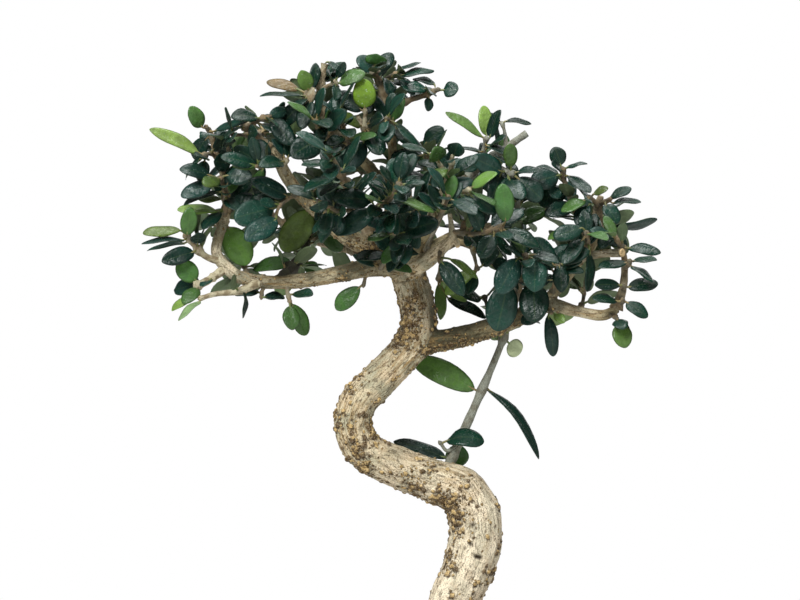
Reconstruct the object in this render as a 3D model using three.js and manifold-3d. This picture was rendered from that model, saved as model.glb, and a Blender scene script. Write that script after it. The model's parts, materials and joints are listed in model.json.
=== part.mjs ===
// A small-leaved olive bonsai in a plain oval pot. Millimetres, +Z up, the pot's foot on z = 0.
// The trunk and its branches are one solid, each leafy spray is a solid of its own that starts
// a hair's breadth off the bark, and the pot and its soil are two more.
import * as THREE from "three";
import { mergeVertices } from "three/addons/utils/BufferGeometryUtils.js";
import Module from "manifold-3d";

const wasm = await Module();
wasm.setup();

// ---------------------------------------------------------------- driving sizes, mm
const POT_LENGTH = 184;
const POT_WIDTH = 132;
const POT_HEIGHT = 55;
const POT_FLOOR = 13;
const POT_SIDES = 24;
const RIM_HEIGHT = 8;
const RIM_WIDTH = 10;
const FOOT_HEIGHT = 4;
const FOOT_WIDTH = 10;
const FOOT_GAP = 34;
const DRAIN_RADIUS = 6;
const DRAIN_SPACING = 60;
const DRAIN_SIDES = 12;

const SEAT_GAP = 0.35; // between two pieces that touch
const SOIL_EDGE = 51;
const SOIL_TOP = 53.5;

const TRUNK_SIDES = 11;
const TRUNK_STEPS = 30;
const LIMB_SIDES = 6;
const TWIG_SIDES = 4;
const TWIG_BASE = 1.15;
const TWIG_TIP = 0.75;
const SPOTS_PER_PIECE = 8;

const LEAF_THICKNESS = 0.8; // at its midrib
const STALK_LENGTH = 2.4;
const STALK_HALF = 0.65; // half the stalk's width where the blade starts
const BLADE_STATIONS = [0, 0.27, 0.78];
const SPOT_STEP = 2.7; // between the spots that stand for a blade
const LEAF_CLEARANCE = 2.3; // between the spots of two blades
const BARK_CLEARANCE = 1.7; // from a blade's spot to bark
const ROOT_REACH = 2.5; // bark this near a leaf's root is its own twig
const WIDEST_TURN = 75; // between a stalk and its blade, or it starts straight for the tip instead
const ROOT_CLEARANCE = 0.6; // from the twig where a leaf roots to the branch that carries it

const SEED = 20260;
const FIRST_PAIR = 0.38;
const LAST_PAIR = 0.98;
const WIDE_SPREAD = 68;
const NARROW_SPREAD = 40;
const ROLL = 35;
const PAIR_SWINGS = [0, 20, -20, 40, -40];
const NAMED_SWINGS = [0, 12, -12, 24, -24, 36, -36];

// ---------------------------------------------------------------- the wood: x, y, z, radius
const TRUNK = [
  [18.5, 0, 30, 16],
  [19.5, 0, 50, 17.4],
  [21, 0, 60, 15],
  [23, 0, 70, 13.9],
  [27, 1, 87, 13.4],
  [33.5, 2, 102, 13.6],
  [37.2, 3, 117, 13.9],
  [36.7, 3, 129.5, 13.9],
  [29.5, 3, 141.5, 12.8],
  [14.5, 2, 147, 11.2],
  [-2, 1, 153.5, 10.8],
  [-17.5, 0, 161.5, 10.5],
  [-24.2, -1, 174.5, 10.3],
  [-20.8, -2, 187, 10],
  [-11, -2, 197, 9.7],
  [-1.4, -2, 207, 9.6],
  [6.8, -1, 217, 9.6],
  [9, 0, 228, 9.4],
  [7, 0, 238.5, 9.4],
  [4, 0, 248, 9.4],
  [1.5, 0, 256, 7.2],
];
const ROOT_LOBES = 5;
const ROOT_FLARE_TOP = 74;
const ROOT_FLARE_HEIGHT = 22;
const ROOT_FLARE_DEPTH = 0.16;

const BRANCHES = {
  right: [
    [3, 0, 212.5, 7],
    [12, -1, 215.5, 6.6],
    [27, -3, 218, 5.8],
    [44.5, -5, 223, 5.4],
    [59.5, -6, 228.5, 4.8],
    [73.5, -6, 234.5, 4.1],
    [87, -8, 231.5, 3.2],
    [100.5, -10, 229.5, 3],
    [108, -10.5, 233, 2.6],
  ],
  right_upper: [
    [71, -6, 234, 3.4],
    [79.5, -1, 244.5, 3.2],
    [88.5, 3, 256, 3],
    [95.5, 5, 264.5, 3],
    [98, 5, 275, 2.9],
  ],
  right_stub: [
    [88, 3, 257.5, 2.3],
    [99, -3, 260, 2.3],
    [110.5, -13, 260.5, 2.5],
  ],
  left: [
    [5, 0, 249, 6],
    [-0.5, -3, 253, 5.5],
    [-15.5, -7, 253, 5],
    [-30.5, -9, 250, 4.6],
    [-50.5, -9, 246.5, 4],
    [-68, -8, 246, 3.8],
    [-80.5, -5, 248.5, 3.6],
    [-88, -2, 254, 3.4],
    [-92.3, 0, 260.5, 3],
    [-91.3, 2, 268.5, 2.9],
    [-88, 3, 278, 2.5],
    [-86.3, 3, 288, 2.2],
    [-88, 2, 299, 1.9],
  ],
  left_fork: [
    [-87.5, 3, 289, 1.8],
    [-84, 2, 297, 1.6],
    [-80.5, 0, 306, 1.3],
  ],
  upper_left: [
    [2, 0, 252, 7],
    [-13, -4, 262, 6],
    [-28, -5, 269, 4.5],
    [-40.5, -6, 280, 3.8],
    [-50.5, -5, 289.5, 3.6],
    [-57.5, -6, 299.5, 3.4],
    [-61, -8, 307, 3.2],
    [-67, -8.7, 313, 3],
  ],
  upper_middle: [
    [1, 0, 253, 6],
    [-3, 3, 269.5, 4.6],
    [-5, 4, 284.5, 4],
    [-10.5, 3, 296, 3.5],
    [-19.5, 1, 307, 3],
    [-27, -1, 312, 2.6],
    [-32, -2.5, 318, 2.3],
  ],
  pale_fork: [
    [-19.5, 1, 307, 2],
    [-18.5, -2, 313.5, 2],
    [-18, -3, 320, 1.9],
    [-22, -4, 329.5, 1.3],
  ],
  pale_fork_tip: [
    [-18, -3, 319, 1.8],
    [-16, -3, 324, 1.5],
    [-14, -3, 328, 1.2],
  ],
  leader: [
    [-8, 3, 291, 3],
    [-4.5, 7, 302, 2.6],
    [-4.5, 8, 317, 2.4],
    [-6, 8, 331.5, 2.1],
  ],
  grey: [
    [5, 3, 252, 4],
    [14, 8, 270, 3.2],
    [25.5, 9, 292, 2.5],
    [35, 7.5, 299.5, 2.2],
  ],
  crossing: [
    [6, 4, 252, 3.6],
    [19, 12, 266, 2.4],
    [33, 15, 265, 1.9],
    [44.5, 15, 257, 1.7],
    [54.5, 14, 247, 1.5],
  ],
  front_right: [
    [1, -2, 250, 5.5],
    [12, -12, 256, 4.5],
    [19.5, -19, 262, 3.5],
    [25, -24, 267.5, 2.6],
    [25, -25, 273, 1.6],
    [24, -26, 280, 1.3],
  ],
  front_hook: [
    [24, -23, 266.5, 2],
    [27, -25, 266, 1.7],
    [28.5, -26, 263, 1.4],
  ],
  front_middle: [
    [2, -2, 253, 4.5],
    [10, -14, 268, 3.6],
    [17, -24, 279.5, 2.7],
  ],
  front_left: [
    [0, -2, 253, 4.5],
    [-10, -15, 264, 3.8],
    [-17, -29, 273.5, 3.1],
  ],
  back_left: [
    [0, 2, 251, 6],
    [-14, 16, 260, 5],
    [-33, 35, 266, 3.6],
  ],
  back_right: [
    [2, 2, 250, 6],
    [16, 18, 262, 5],
    [35, 36.5, 272, 3.6],
  ],
  back_upper: [
    [0, 2, 254, 5],
    [2, 14, 270, 4],
    [3, 28.5, 287.5, 3.1],
  ],
};

// ---------------------------------------------------------------- the sprays
// A twig is its route, its number of leaf pairs, and the length of those leaves.
const twig = (route, pairs = 0, length = 17) => ({ route, pairs, length });
// A named leaf is its blade's base and tip, its width, and how far its face is turned up from
// the front view: 0 faces the front, 90 shows its edge. A long drooping leaf has its bend too.
const leaf = (base, tip, width, turn, bend = 0) => ({ base, tip, width, turn, bend });

const SPRAYS = {
  left_top: {
    twigs: [
      twig([[-88.5, 2.5, 298, 1.9], [-92, 0, 309, 1.6], [-95, -2, 320, 1.3], [-97, -5, 323, 0.9]], 0),
      twig([[-92, 0, 308], [-95, -5, 310], [-98, -8, 309]], 0),
    ],
    leaves: [
      leaf([-98, -9, 309], [-125, -15, 322], 8, 40),
      leaf([-98, -10, 308], [-108, -16, 310], 8, 70),
      leaf([-99, -8, 323], [-105, -12, 333], 8.5, 15),
      leaf([-92, -6, 321.5], [-71.5, -10, 327], 8, 66),
      leaf([-97, -3, 318], [-104, -1, 307], 9, 20),
      leaf([-93, 1, 319], [-84, 4, 309], 9, 20),
    ],
  },
  left_inner: {
    twigs: [twig([[-81, 0, 305], [-84, -5, 308], [-86, -9, 312], [-87, -11, 316]], 2, 16)],
    leaves: [
      leaf([-86, -9, 305], [-97.5, -15, 306.5], 9.5, 10),
      leaf([-86, -11, 314], [-84, -24, 328], 9, 35),
    ],
  },
  left_middle: {
    twigs: [twig([[-90, 3, 279], [-88, -5, 285], [-87.5, -11, 291], [-90, -15, 297]], 0)],
    leaves: [
      leaf([-95, -16, 299], [-109.5, -21, 302], 9, 30),
      leaf([-94, -17, 295], [-108, -23, 289], 9, 20),
      leaf([-91, -18, 297], [-100, -28, 293], 8, 30),
      leaf([-90.5, -11, 291], [-108, -16, 284.5], 7, 62),
      leaf([-85, -9, 285], [-72, -14, 287], 9, 20),
      leaf([-91.5, -5, 281.5], [-111.5, -9, 282], 8, 58),
      leaf([-90, -8, 287.5], [-101, -9, 287.5], 7, 62),
      leaf([-87, -16, 299], [-74, -21, 298], 10, 15),
    ],
  },
  left_end: {
    twigs: [twig([[-91.5, -1, 255, 1.9], [-97, -4, 258.5, 1.6], [-103, -6, 264, 1.3], [-107, -7, 269, 0.9]], 0)],
    leaves: [
      leaf([-106.5, -13, 269.5], [-104.5, -16, 283], 8.5, 10),
      leaf([-110, -8, 272], [-128.5, -11, 270.5], 8, 52),
      leaf([-108, -10, 267], [-129, -14, 265], 7, 62),
      leaf([-108, -4, 265.5], [-127, -1, 261.5], 7, 62),
      leaf([-101, -8, 262], [-100.5, -13, 272], 8, 10),
      leaf([-103, -9, 261], [-119, -14, 256], 9, 20),
    ],
  },
  left_low: {
    twigs: [twig([[-88, -2, 253, 2.4], [-95, -6, 247.5, 1.8], [-101.5, -8, 244, 1.4]], 0)],
    leaves: [
      leaf([-102, -8, 246.5], [-111, -11, 256], 10.5, 5),
      leaf([-101, -10, 243], [-108, -16, 235.5], 8.5, 25),
      leaf([-101, -9, 241], [-114, -12, 232], 8, 58),
      leaf([-92, -7.5, 247], [-101, -14, 241], 7, 55),
    ],
  },
  left_pale: {
    twigs: [
      twig([[-70, -8, 246, 2], [-80, -14, 241.5, 1.6], [-92, -17, 240, 1.4], [-99, -18, 238, 1.1]], 0),
    ],
    leaves: [
      leaf([-100, -19, 236.5], [-111, -22, 226], 7.5, 58),
      leaf([-77.5, -14, 241], [-78.5, -18, 228], 8, 72),
    ],
  },
  left_hanging_pair: {
    twigs: [twig([[-57, -9, 246], [-56.5, -12, 241], [-55.5, -13, 237]], 0)],
    leaves: [
      leaf([-57, -14, 237], [-54, -19, 222.5], 9, 8),
      leaf([-53.5, -10, 238], [-47, -9, 219.5], 9.5, 20),
      leaf([-54, -12.5, 240], [-42, -14, 240], 7, 58),
    ],
  },
  left_under: {
    twigs: [twig([[-67, -8, 246], [-69, -8, 242], [-69.5, -7, 239]], 0)],
    leaves: [
      leaf([-71, -5, 241], [-83, -1, 240], 7, 50),
      leaf([-68, -8, 238.5], [-58, -5, 238.5], 7, 55),
    ],
  },
  left_front: {
    twigs: [twig([[-51, -5, 290], [-55, -14, 288], [-60, -20, 284], [-62, -23, 279]], 0)],
    leaves: [
      leaf([-60, -25, 286.5], [-82, -31, 277.5], 13.5, 15),
      leaf([-63, -27, 276], [-81, -32, 263.5], 12, 15),
      leaf([-57, -18, 289], [-76, -21, 297], 10, 25),
    ],
  },
  left_rear: {
    twigs: [
      twig([[-92, 2, 273, 1.8], [-90, 9, 276, 1.5], [-87, 20, 283, 1.2], [-85, 31, 293, 0.8]], 3, 18),
    ],
    leaves: [leaf([-87, 12, 274], [-77.5, 15, 254.5], 14.5, 5)],
  },
  left_bright: {
    twigs: [twig([[-41, -6, 281], [-43, 2, 282], [-43.5, 8, 282]], 0)],
    leaves: [
      leaf([-45, 9, 282], [-59.5, 13, 261.5], 15, 5),
      leaf([-42, 10, 279], [-29, 13, 260], 12, 12),
      leaf([-43, 11, 284], [-40, 27, 288], 9, 60),
    ],
  },
  left_shaded: {
    twigs: [
      twig([[-62, -8, 246, 2.4], [-56, 6, 252, 2.2], [-50, 16, 259, 1.9], [-47, 26, 268, 1.3]], 2, 17),
    ],
    leaves: [
      leaf([-53, 12, 260], [-74, 7, 252.5], 9.5, 35),
      leaf([-48, 16, 261], [-43, 17, 250], 8, 20),
    ],
  },
  left_single: {
    twigs: [twig([[-18, -7, 252.5], [-18, -8, 247.5], [-18.5, -8, 245]], 0)],
    leaves: [leaf([-20.5, -8, 243.5], [-32.5, -6, 232.3], 9.5, 10)],
  },
  upper_left_end: {
    twigs: [
      twig([[-66, -8.5, 312, 2.8], [-75, -10, 321, 2.2], [-79, -11, 325, 1.5]], 0),
      twig([[-73.5, -9, 319], [-78, -15, 319], [-83, -19, 319]], 1, 15),
      twig([[-76, -10, 322], [-72, -15, 326], [-66, -17, 328]], 0),
      twig([[-72, -9, 318], [-71, 2, 320], [-69, 12, 322], [-68, 21, 323]], 3, 17),
    ],
    leaves: [
      leaf([-69, -17, 330], [-85, -20, 328], 9, 45),
      leaf([-64, -17, 327], [-54, -21, 314], 10, 20),
      leaf([-74, -16, 321], [-66, -22, 307], 10, 15),
    ],
  },
  upper_left_front: {
    twigs: [twig([[-63, -8, 309], [-66, -18, 306], [-69, -25, 303], [-71, -31, 303]], 2, 17)],
    leaves: [],
  },
  upper_left_knot: {
    twigs: [twig([[-57.5, -6, 299.5], [-58, -13, 302], [-57, -18, 306]], 0)],
    leaves: [
      leaf([-57, -19, 308], [-78, -26, 301], 9, 30),
      leaf([-56, -18, 308], [-55, -16, 322], 8, 30),
    ],
  },
  crown_left: {
    twigs: [
      twig([[-31, -2, 317, 2.3], [-38, -4, 329, 2], [-40.5, -4, 342, 1.8], [-38, -4, 355, 1.6]], 0),
      twig([[-39, -4, 333], [-42, -9, 337], [-45.5, -12, 338.5]], 0),
      twig([[-40.5, -4, 342], [-36, -8, 344], [-33, -11, 345]], 1, 13),
      twig([[-40, -4, 334], [-42, 6, 333], [-44, 15, 333], [-46, 24, 334]], 3, 17),
    ],
    leaves: [
      leaf([-48, -13, 338.5], [-70, -18, 338.5], 8, 72),
      leaf([-46, -13, 341.5], [-49.5, -19, 351], 8, 10),
      leaf([-51, -8, 342], [-67, -6, 346], 6.5, 30),
      leaf([-47, -14, 337], [-60, -20, 324], 9, 10),
      leaf([-45, -14, 336], [-50, -20, 320], 8.5, 30),
      leaf([-45, -11, 341], [-42, -10, 356], 6, 25),
      leaf([-31, -11, 345], [-18, -14, 350], 9, 35),
      leaf([-36, -4, 356], [-28, -6, 349], 7, 60),
    ],
  },
  crown_left_front: {
    twigs: [twig([[-28, -1, 313], [-35, -12, 317], [-40, -22, 321], [-42, -29, 325]], 2, 18)],
    leaves: [
      leaf([-36, -17, 316], [-56, -24, 307], 14, 20),
      leaf([-37, -19, 322], [-26, -27, 332], 9, 20),
    ],
  },
  crown_young: {
    twigs: [twig([[-18, -3, 316], [-18, -7, 324], [-18, -9, 331]], 0)],
    leaves: [
      leaf([-18, -10, 332.5], [-18.5, -13, 347], 11.5, 5),
      leaf([-18, -11, 316], [-28.5, -19, 302], 12, 5),
      leaf([-20, -7, 324], [-33, -10, 330], 8, 50),
      leaf([-16, -7, 325], [-4, -12, 329], 9, 45),
      leaf([-20, -6, 332], [-33, -7, 341], 10, 20),
      leaf([-16, -8, 321], [-9, -16, 307], 10, 15),
    ],
  },
  crown_top: {
    twigs: [
      twig([[-6, 8, 331, 2.1], [-10, 7, 344, 1.7], [-13, 6, 350, 1.2], [-13.5, 5, 353, 0.9]], 0),
      twig([[-10.5, 7, 345.5], [-6, 3, 348.5], [-2, 1, 350]], 1, 14),
    ],
    leaves: [
      leaf([-13, 4, 351], [-12, 0, 360], 11, 10),
      leaf([-15, 5, 351], [-21, 6, 359.5], 8, 25),
      leaf([-11, 7, 352], [-4.5, 9, 361], 8, 15),
      leaf([-3, 2, 351], [10, 5, 356], 8, 76),
      leaf([0, 0, 349.5], [16, -4, 352], 8, 62),
      leaf([-12, 6, 342], [-24, 3, 340], 9, 40),
    ],
  },
  crown_right: {
    twigs: [
      twig([[-5.5, 8, 328, 2], [2, 6, 336, 1.6], [12, 3, 339.5, 1.3], [18, -1, 342, 0.9]], 0),
    ],
    leaves: [
      leaf([18, -3, 343.5], [28.5, -5, 342], 8.5, 12),
      leaf([13, -2, 342.5], [1, -6, 343], 8, 40),
      leaf([14, 1, 338], [13.5, -3, 331.5], 5, 20),
      leaf([17, 2, 345], [6, 6, 348], 7, 60),
    ],
  },
  crown_front: {
    twigs: [twig([[-4.7, 8, 322], [-5, -2, 325], [-6, -10, 326], [-7, -16, 327]], 2, 13)],
    leaves: [leaf([-2.5, -14, 325], [8.5, -16, 313], 6, 40)],
  },
  crown_rear: {
    twigs: [twig([[-5, 8, 324], [-8, 18, 332], [-10, 28, 339], [-12, 37, 344]], 3, 17)],
    leaves: [],
  },
  crown_dark: {
    twigs: [twig([[-24, 0, 310], [-27, -10, 316], [-29, -18, 323], [-31, -25, 330]], 2, 14)],
    leaves: [leaf([-28, -20, 318], [-40, -28, 312], 10, 45)],
  },
  centre_upper: {
    twigs: [twig([[14, 8, 271], [16, 4, 288], [15, 0, 301], [12, -3, 312]], 1, 15)],
    leaves: [
      leaf([12, -4, 315], [21, -7, 323], 9, 10),
      leaf([17, -2, 304], [24, -6, 315], 8, 30),
      leaf([10, -5, 309], [-5, -8, 308], 9, 30),
    ],
  },
  centre_grey: {
    twigs: [
      twig([[34, 7.5, 298.5, 2.2], [40, 7, 304, 2.1], [49.5, 5, 311, 1.8], [63, 3, 320.5, 1.8]], 0),
      twig([[40, 7, 304], [41, 2, 310], [42.5, -1, 317]], 0),
      twig([[52, 4, 313.5], [52, 8, 321], [51, 10, 325]], 0),
      twig([[44, 6, 307], [50, -2, 303], [55, -7, 300]], 1, 14),
    ],
    leaves: [
      leaf([41, -1, 318.5], [22.5, -3, 331], 7.5, 48),
      leaf([43, 5, 319.5], [41.5, 6, 334.5], 7.5, 10),
      leaf([44.5, 0, 318.5], [49.5, -2, 332], 8, 40),
      leaf([40, -1, 311], [20, -3, 312], 8, 72),
      leaf([43, -4, 314], [57, -8, 308], 8, 60),
      leaf([52.5, 9, 327], [65.5, 11, 325.5], 6, 68),
      leaf([50, 11, 326], [40, 15, 331], 7, 55),
      leaf([57.5, -9, 301], [54, -12, 316], 7.5, 15),
      leaf([50, -7, 301], [35, -14, 308], 10, 15),
      leaf([58, -8, 298], [70, -10, 287], 11, 15),
      leaf([54, -8, 297], [62, -14, 283], 10, 20),
    ],
  },
  centre_crest: {
    twigs: [
      twig([[16, -23, 278, 2.6], [21, -31, 290, 2], [24.5, -37, 301, 1.4], [25, -42, 307, 0.9]], 1, 14),
      twig([[23, -34, 296], [20, -40, 302], [16, -44, 308]], 1, 16),
      twig([[20, -29, 287], [27, -35, 289], [33, -39, 291]], 1, 17),
    ],
    leaves: [
      leaf([18, -43, 302], [16, -49, 313], 10, 12),
      leaf([26.5, -42, 303.5], [28, -46, 314], 9, 15),
      leaf([35, -40, 292.5], [47, -43, 299.5], 8, 40),
      leaf([35, -38, 288], [47, -40, 280], 9, 30),
    ],
  },
  centre_glossy: {
    twigs: [twig([[25, -24.5, 270.5], [33, -29, 269.5], [41, -34, 270.5], [49, -37, 273]], 0)],
    leaves: [
      leaf([51.5, -41, 275.5], [50, -44, 294], 10, 5),
      leaf([51.5, -38, 271], [68, -41, 263], 9, 30),
      leaf([46, -37, 269], [38.5, -42, 258], 9.5, 15),
      leaf([50, -38, 270], [59, -50, 258], 9.5, 25),
      leaf([40, -35, 271], [34, -40, 284], 9, 25),
    ],
  },
  centre_dark: {
    twigs: [twig([[13, -19, 273], [7, -30, 280], [1, -37, 282], [-5, -43, 282]], 2, 18)],
    leaves: [],
  },
  centre_low: {
    twigs: [twig([[9, -12, 266], [4, -24, 268], [0, -32, 269], [-3, -39, 270]], 2, 18)],
    leaves: [leaf([1, -37, 270], [20, -43, 276], 11, 20)],
  },
  centre_over_left: {
    twigs: [twig([[-10, -7, 252], [-10, -14, 253.5], [-7, -20, 257.5], [-4, -21.5, 260]], 0)],
    leaves: [
      leaf([-4, -21, 259.5], [-23, -23, 257.5], 8.5, 42),
      leaf([-1, -21, 262], [-14, -28, 272], 9, 25),
    ],
  },
  centre_behind: {
    twigs: [twig([[36, 15, 263.5], [37, 8, 258], [38, 2, 253]], 0)],
    leaves: [
      leaf([37, 1, 252], [22, -2, 240], 8, 35),
      leaf([42, 1, 247], [33.5, -3, 240.5], 8, 25),
      leaf([40.5, 1, 254], [48, -2, 265], 9, 30),
    ],
  },
  centre_drooping: {
    twigs: [twig([[20, -19, 261.5], [19, -27, 258], [19, -31, 256]], 0)],
    leaves: [
      leaf([20, -32, 256], [31, -36, 239.5], 9.5, 15),
      leaf([24.5, -28, 257.5], [38, -27, 247.5], 6.5, 48),
    ],
  },
  centre_hanging: {
    twigs: [twig([[22, 13, 266], [20, 13, 256], [19, 13, 248]], 0)],
    leaves: [
      leaf([19, 13, 245], [20, 14, 227], 7.5, 30),
      leaf([20, 14, 247], [33, 16, 236], 8, 30),
      leaf([23, 10, 238], [42, 6, 228.5], 8, 40),
    ],
  },
  right_ovals: {
    twigs: [twig([[54.5, -6, 227], [58.5, -18, 240], [61, -26, 251], [61.5, -31, 258.5]], 0)],
    leaves: [
      leaf([57.5, -33, 257.5], [48, -38, 240.5], 12.5, 8),
      leaf([66, -34, 257], [65.5, -40, 241], 13, 5),
      leaf([66, -32, 259.5], [79, -35, 255], 7, 45),
      leaf([65.5, -27, 244.5], [66, -33, 226], 15, 5),
      leaf([53, -26, 246.5], [47.5, -33, 223], 16, 5),
    ],
  },
  right_inner: {
    twigs: [twig([[76, -4, 240], [77, -13, 248], [78, -19, 254]], 0)],
    leaves: [
      leaf([78.5, -21, 254], [79.5, -27, 241], 8.5, 10),
      leaf([76, -18, 254], [66, -19, 268], 10, 20),
      leaf([74, -14, 247], [60, -12, 244], 8, 30),
      leaf([80, -19, 255], [93, -22, 262], 9, 40),
    ],
  },
  right_hanging: {
    twigs: [twig([[73.5, -6, 235], [74, -14, 232], [74.5, -18, 231]], 0)],
    leaves: [
      leaf([73, -19, 229.5], [75.5, -22, 209], 7.5, 18),
      leaf([76, -19, 230], [81, -23, 226], 5, 25),
    ],
  },
  right_crossing: {
    twigs: [twig([[90, 3, 257.5], [92, -5, 262], [93, -12, 266], [92, -18, 270]], 1, 17)],
    leaves: [
      leaf([94, -14, 261], [92.5, -17, 241], 7, 40),
      leaf([92, -17, 270], [80, -24, 255], 8, 30),
      leaf([90, -19, 273], [76, -27, 268], 10, 25),
      leaf([92, -9, 262], [74, -8, 259], 10, 30),
    ],
  },
  right_upper_end: {
    twigs: [
      twig([[98, 5, 274, 2.8], [99, 4, 284.5, 2.2], [100, 3, 289, 1.5]], 0),
      twig([[99, 4, 283], [97, -2, 286], [94, -6, 288]], 0),
      twig([[99, 4, 285], [102, 1, 286], [104, 0, 287]], 0),
      twig([[99, 4, 279], [100, 15, 277], [102, 25, 275], [103, 34, 275]], 3, 16),
    ],
    leaves: [
      leaf([92, -7, 287], [80, -11, 281], 9, 42),
      leaf([93, -7, 290], [88, -12, 284], 7, 20),
      leaf([96, -5, 290], [103, -8, 293], 5, 40),
      leaf([104, 0, 288], [115, -2, 293], 6.5, 45),
      leaf([105, -2, 285.5], [119, -6, 286], 6.5, 66),
      leaf([102, -2, 285], [108, -6, 275], 8.5, 20),
    ],
  },
  right_underside: {
    twigs: [twig([[98, 5, 271], [102, 1, 271.5], [105, -1, 272]], 0)],
    leaves: [
      leaf([107, -1, 273], [128, -3, 277], 8, -60),
      leaf([104, -2, 270], [99, -6, 262], 7.5, 20),
    ],
  },
  right_end: {
    twigs: [
      twig([[107, -10.5, 232.5, 2.6], [110.5, -11, 243, 2], [111.5, -6.5, 256, 1.6], [110, -4, 265, 1.2]], 0),
      twig([[110.5, -5, 262.5], [108, -11, 266], [107, -12, 268]], 0),
      twig([[111.2, -8, 252.5], [113, -14, 254], [113.5, -16, 256]], 0),
      twig([[110.5, -11, 243], [111, -16, 243], [111, -18, 244]], 0),
      twig([[109.5, -11, 238], [110, -17, 236], [110, -19, 237]], 0),
    ],
    leaves: [
      leaf([109.5, -6, 265], [129.5, -9, 260.5], 7.5, 42),
      leaf([106, -13, 268], [94, -17, 272], 8, 50),
      leaf([115, -16, 256.5], [127, -19, 257], 7, 66),
      leaf([112, -16, 255.5], [98, -21, 253.5], 7, 48),
      leaf([114.5, -16, 254], [125, -21, 246], 7.5, 62),
      leaf([113, -18, 243.5], [128, -21, 245.5], 8, 30),
      leaf([109, -18, 244.5], [96, -23, 244.5], 7, 35),
      leaf([107.5, -19, 236.5], [95, -23, 238], 7, 42),
      leaf([112, -19, 236], [122, -23, 228.5], 8, 30),
    ],
  },
  right_low: {
    twigs: [twig([[103, -10, 230.5], [106, -14, 229], [107, -16, 228]], 0)],
    leaves: [
      leaf([109, -17, 228.5], [111.5, -20, 213.5], 10, 8),
      leaf([101, -16, 231.5], [110, -25, 223], 8, 15),
      leaf([108, -13, 227], [112, -12, 217], 8, 10),
    ],
  },
  right_crest: {
    twigs: [
      twig([[95, 5, 264.5, 1.6], [90, 6, 275, 1.4], [86, 6, 285, 1.2], [82, 5, 296, 1], [81, 4, 302, 0.8]], 0),
    ],
    leaves: [
      leaf([80, 4, 304.5], [77, 3, 313.5], 8.5, 10),
      leaf([79, 2, 303], [71, -1, 308], 6, 62),
      leaf([83, 3, 303.5], [93, 1, 305.5], 7, 66),
      leaf([84, 3, 299], [97.5, -1, 288], 8, 52),
      leaf([79, 2, 299.5], [65.5, -4, 295.5], 12, 12),
      leaf([85, 2, 294], [76, -3, 290], 8, 25),
      leaf([83, 8, 292], [69, 13, 286], 11, 20),
      leaf([86, 2, 284], [72, -3, 280], 9, 25),
    ],
  },
  right_shaded: {
    twigs: [twig([[44, -5, 223.5], [44, 6, 231], [42, 14, 238]], 1, 17)],
    leaves: [leaf([40, 14, 238], [26, 11, 241], 8, 40)],
  },
  right_rear: {
    twigs: [twig([[82, 0, 247.5], [84, 12, 250], [86, 22, 255], [87, 31, 261]], 3, 17)],
    leaves: [],
  },
  back_left_end: {
    twigs: [
      twig([[-31, 33, 265, 3.4], [-47, 49, 269, 2.4], [-60, 59, 276, 1.6], [-72, 66, 286, 0.9]], 3, 19),
      twig([[-38, 40, 267], [-36, 54, 266], [-33, 62, 268], [-30, 68, 272]], 3, 18),
      twig([[-49, 51, 270], [-49, 55, 279], [-47, 57, 289], [-44, 57, 300]], 3, 18),
    ],
    leaves: [],
  },
  back_right_end: {
    twigs: [
      twig([[33, 35, 271, 3.4], [50, 48, 273, 2.4], [63, 57, 278, 1.6], [75, 64, 285, 0.9]], 3, 19),
      twig([[42, 43, 272], [40, 56, 270], [37, 63, 271], [34, 68, 274]], 3, 18),
      twig([[53, 51, 274], [52, 55, 281], [50, 57, 290], [47, 57, 299]], 3, 18),
    ],
    leaves: [],
  },
  back_upper_end: {
    twigs: [
      twig([[3, 27, 286, 3], [1, 40, 302, 2.2], [-5, 48, 317, 1.5], [-11, 53, 331, 0.9]], 3, 18),
      twig([[2, 38, 299], [12, 48, 298], [23, 55, 299], [33, 59, 302]], 3, 18),
      twig([[2, 36, 297], [-9, 47, 299], [-20, 54, 303], [-29, 58, 310]], 3, 18),
    ],
    leaves: [],
  },
  back_middle: {
    twigs: [twig([[3, 24, 282], [6, 40, 279], [7, 53, 278], [6, 65, 281]], 3, 19)],
    leaves: [],
  },
  back_left_inner: {
    twigs: [twig([[-24, 26, 263], [-31, 31, 272], [-35, 33, 281], [-37, 33, 294]], 3, 18)],
    leaves: [],
  },
  back_right_inner: {
    twigs: [twig([[27, 29, 267], [32, 32, 275], [36, 34, 283], [38, 35, 292]], 3, 18)],
    leaves: [],
  },
  back_right_side: {
    twigs: [twig([[86, -8, 231.5], [90, 4, 234], [92, 16, 239], [93, 28, 246]], 2, 17)],
    leaves: [],
  },
  back_left_side: {
    twigs: [twig([[-76, -6, 247.5], [-77, 6, 250], [-79, 19, 254], [-81, 31, 259]], 3, 17)],
    leaves: [],
  },
  front_left: {
    twigs: [
      twig([[-16, -27, 272, 3], [-23, -44, 286, 2], [-29, -57, 298, 1.4], [-35, -71, 308, 0.9]], 3, 18),
      twig([[-20, -37, 280], [-11, -48, 283], [-5, -57, 287], [-1, -65, 293]], 3, 17),
      twig([[-20, -38, 281], [-28, -48, 281], [-35, -56, 282], [-40, -63, 285]], 2, 17),
    ],
    leaves: [
      leaf([-15, -46, 286], [-37, -50, 287], 11, 15),
      leaf([-14, -46, 281], [-33, -49, 268], 11, 12),
      leaf([-12, -48, 287], [4, -54, 290], 10, 25),
    ],
  },
  front_middle: {
    twigs: [twig([[12, -17, 271], [16, -32, 275], [20, -45, 280], [23, -57, 287]], 1, 17)],
    leaves: [],
  },
  water_shoot: {
    twigs: [
      twig(
        [
          [20, 4, 145, 2.4],
          [24.5, 8, 155.5, 2.3],
          [38.5, 9, 187, 1.95],
          [51.5, 11, 218, 1.6],
          [57, 14, 240, 1.4],
          [59, 15, 262, 1.2],
          [58.5, 13, 284, 1.1],
          [58, 11, 296, 0.8],
        ],
        0,
      ),
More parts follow.
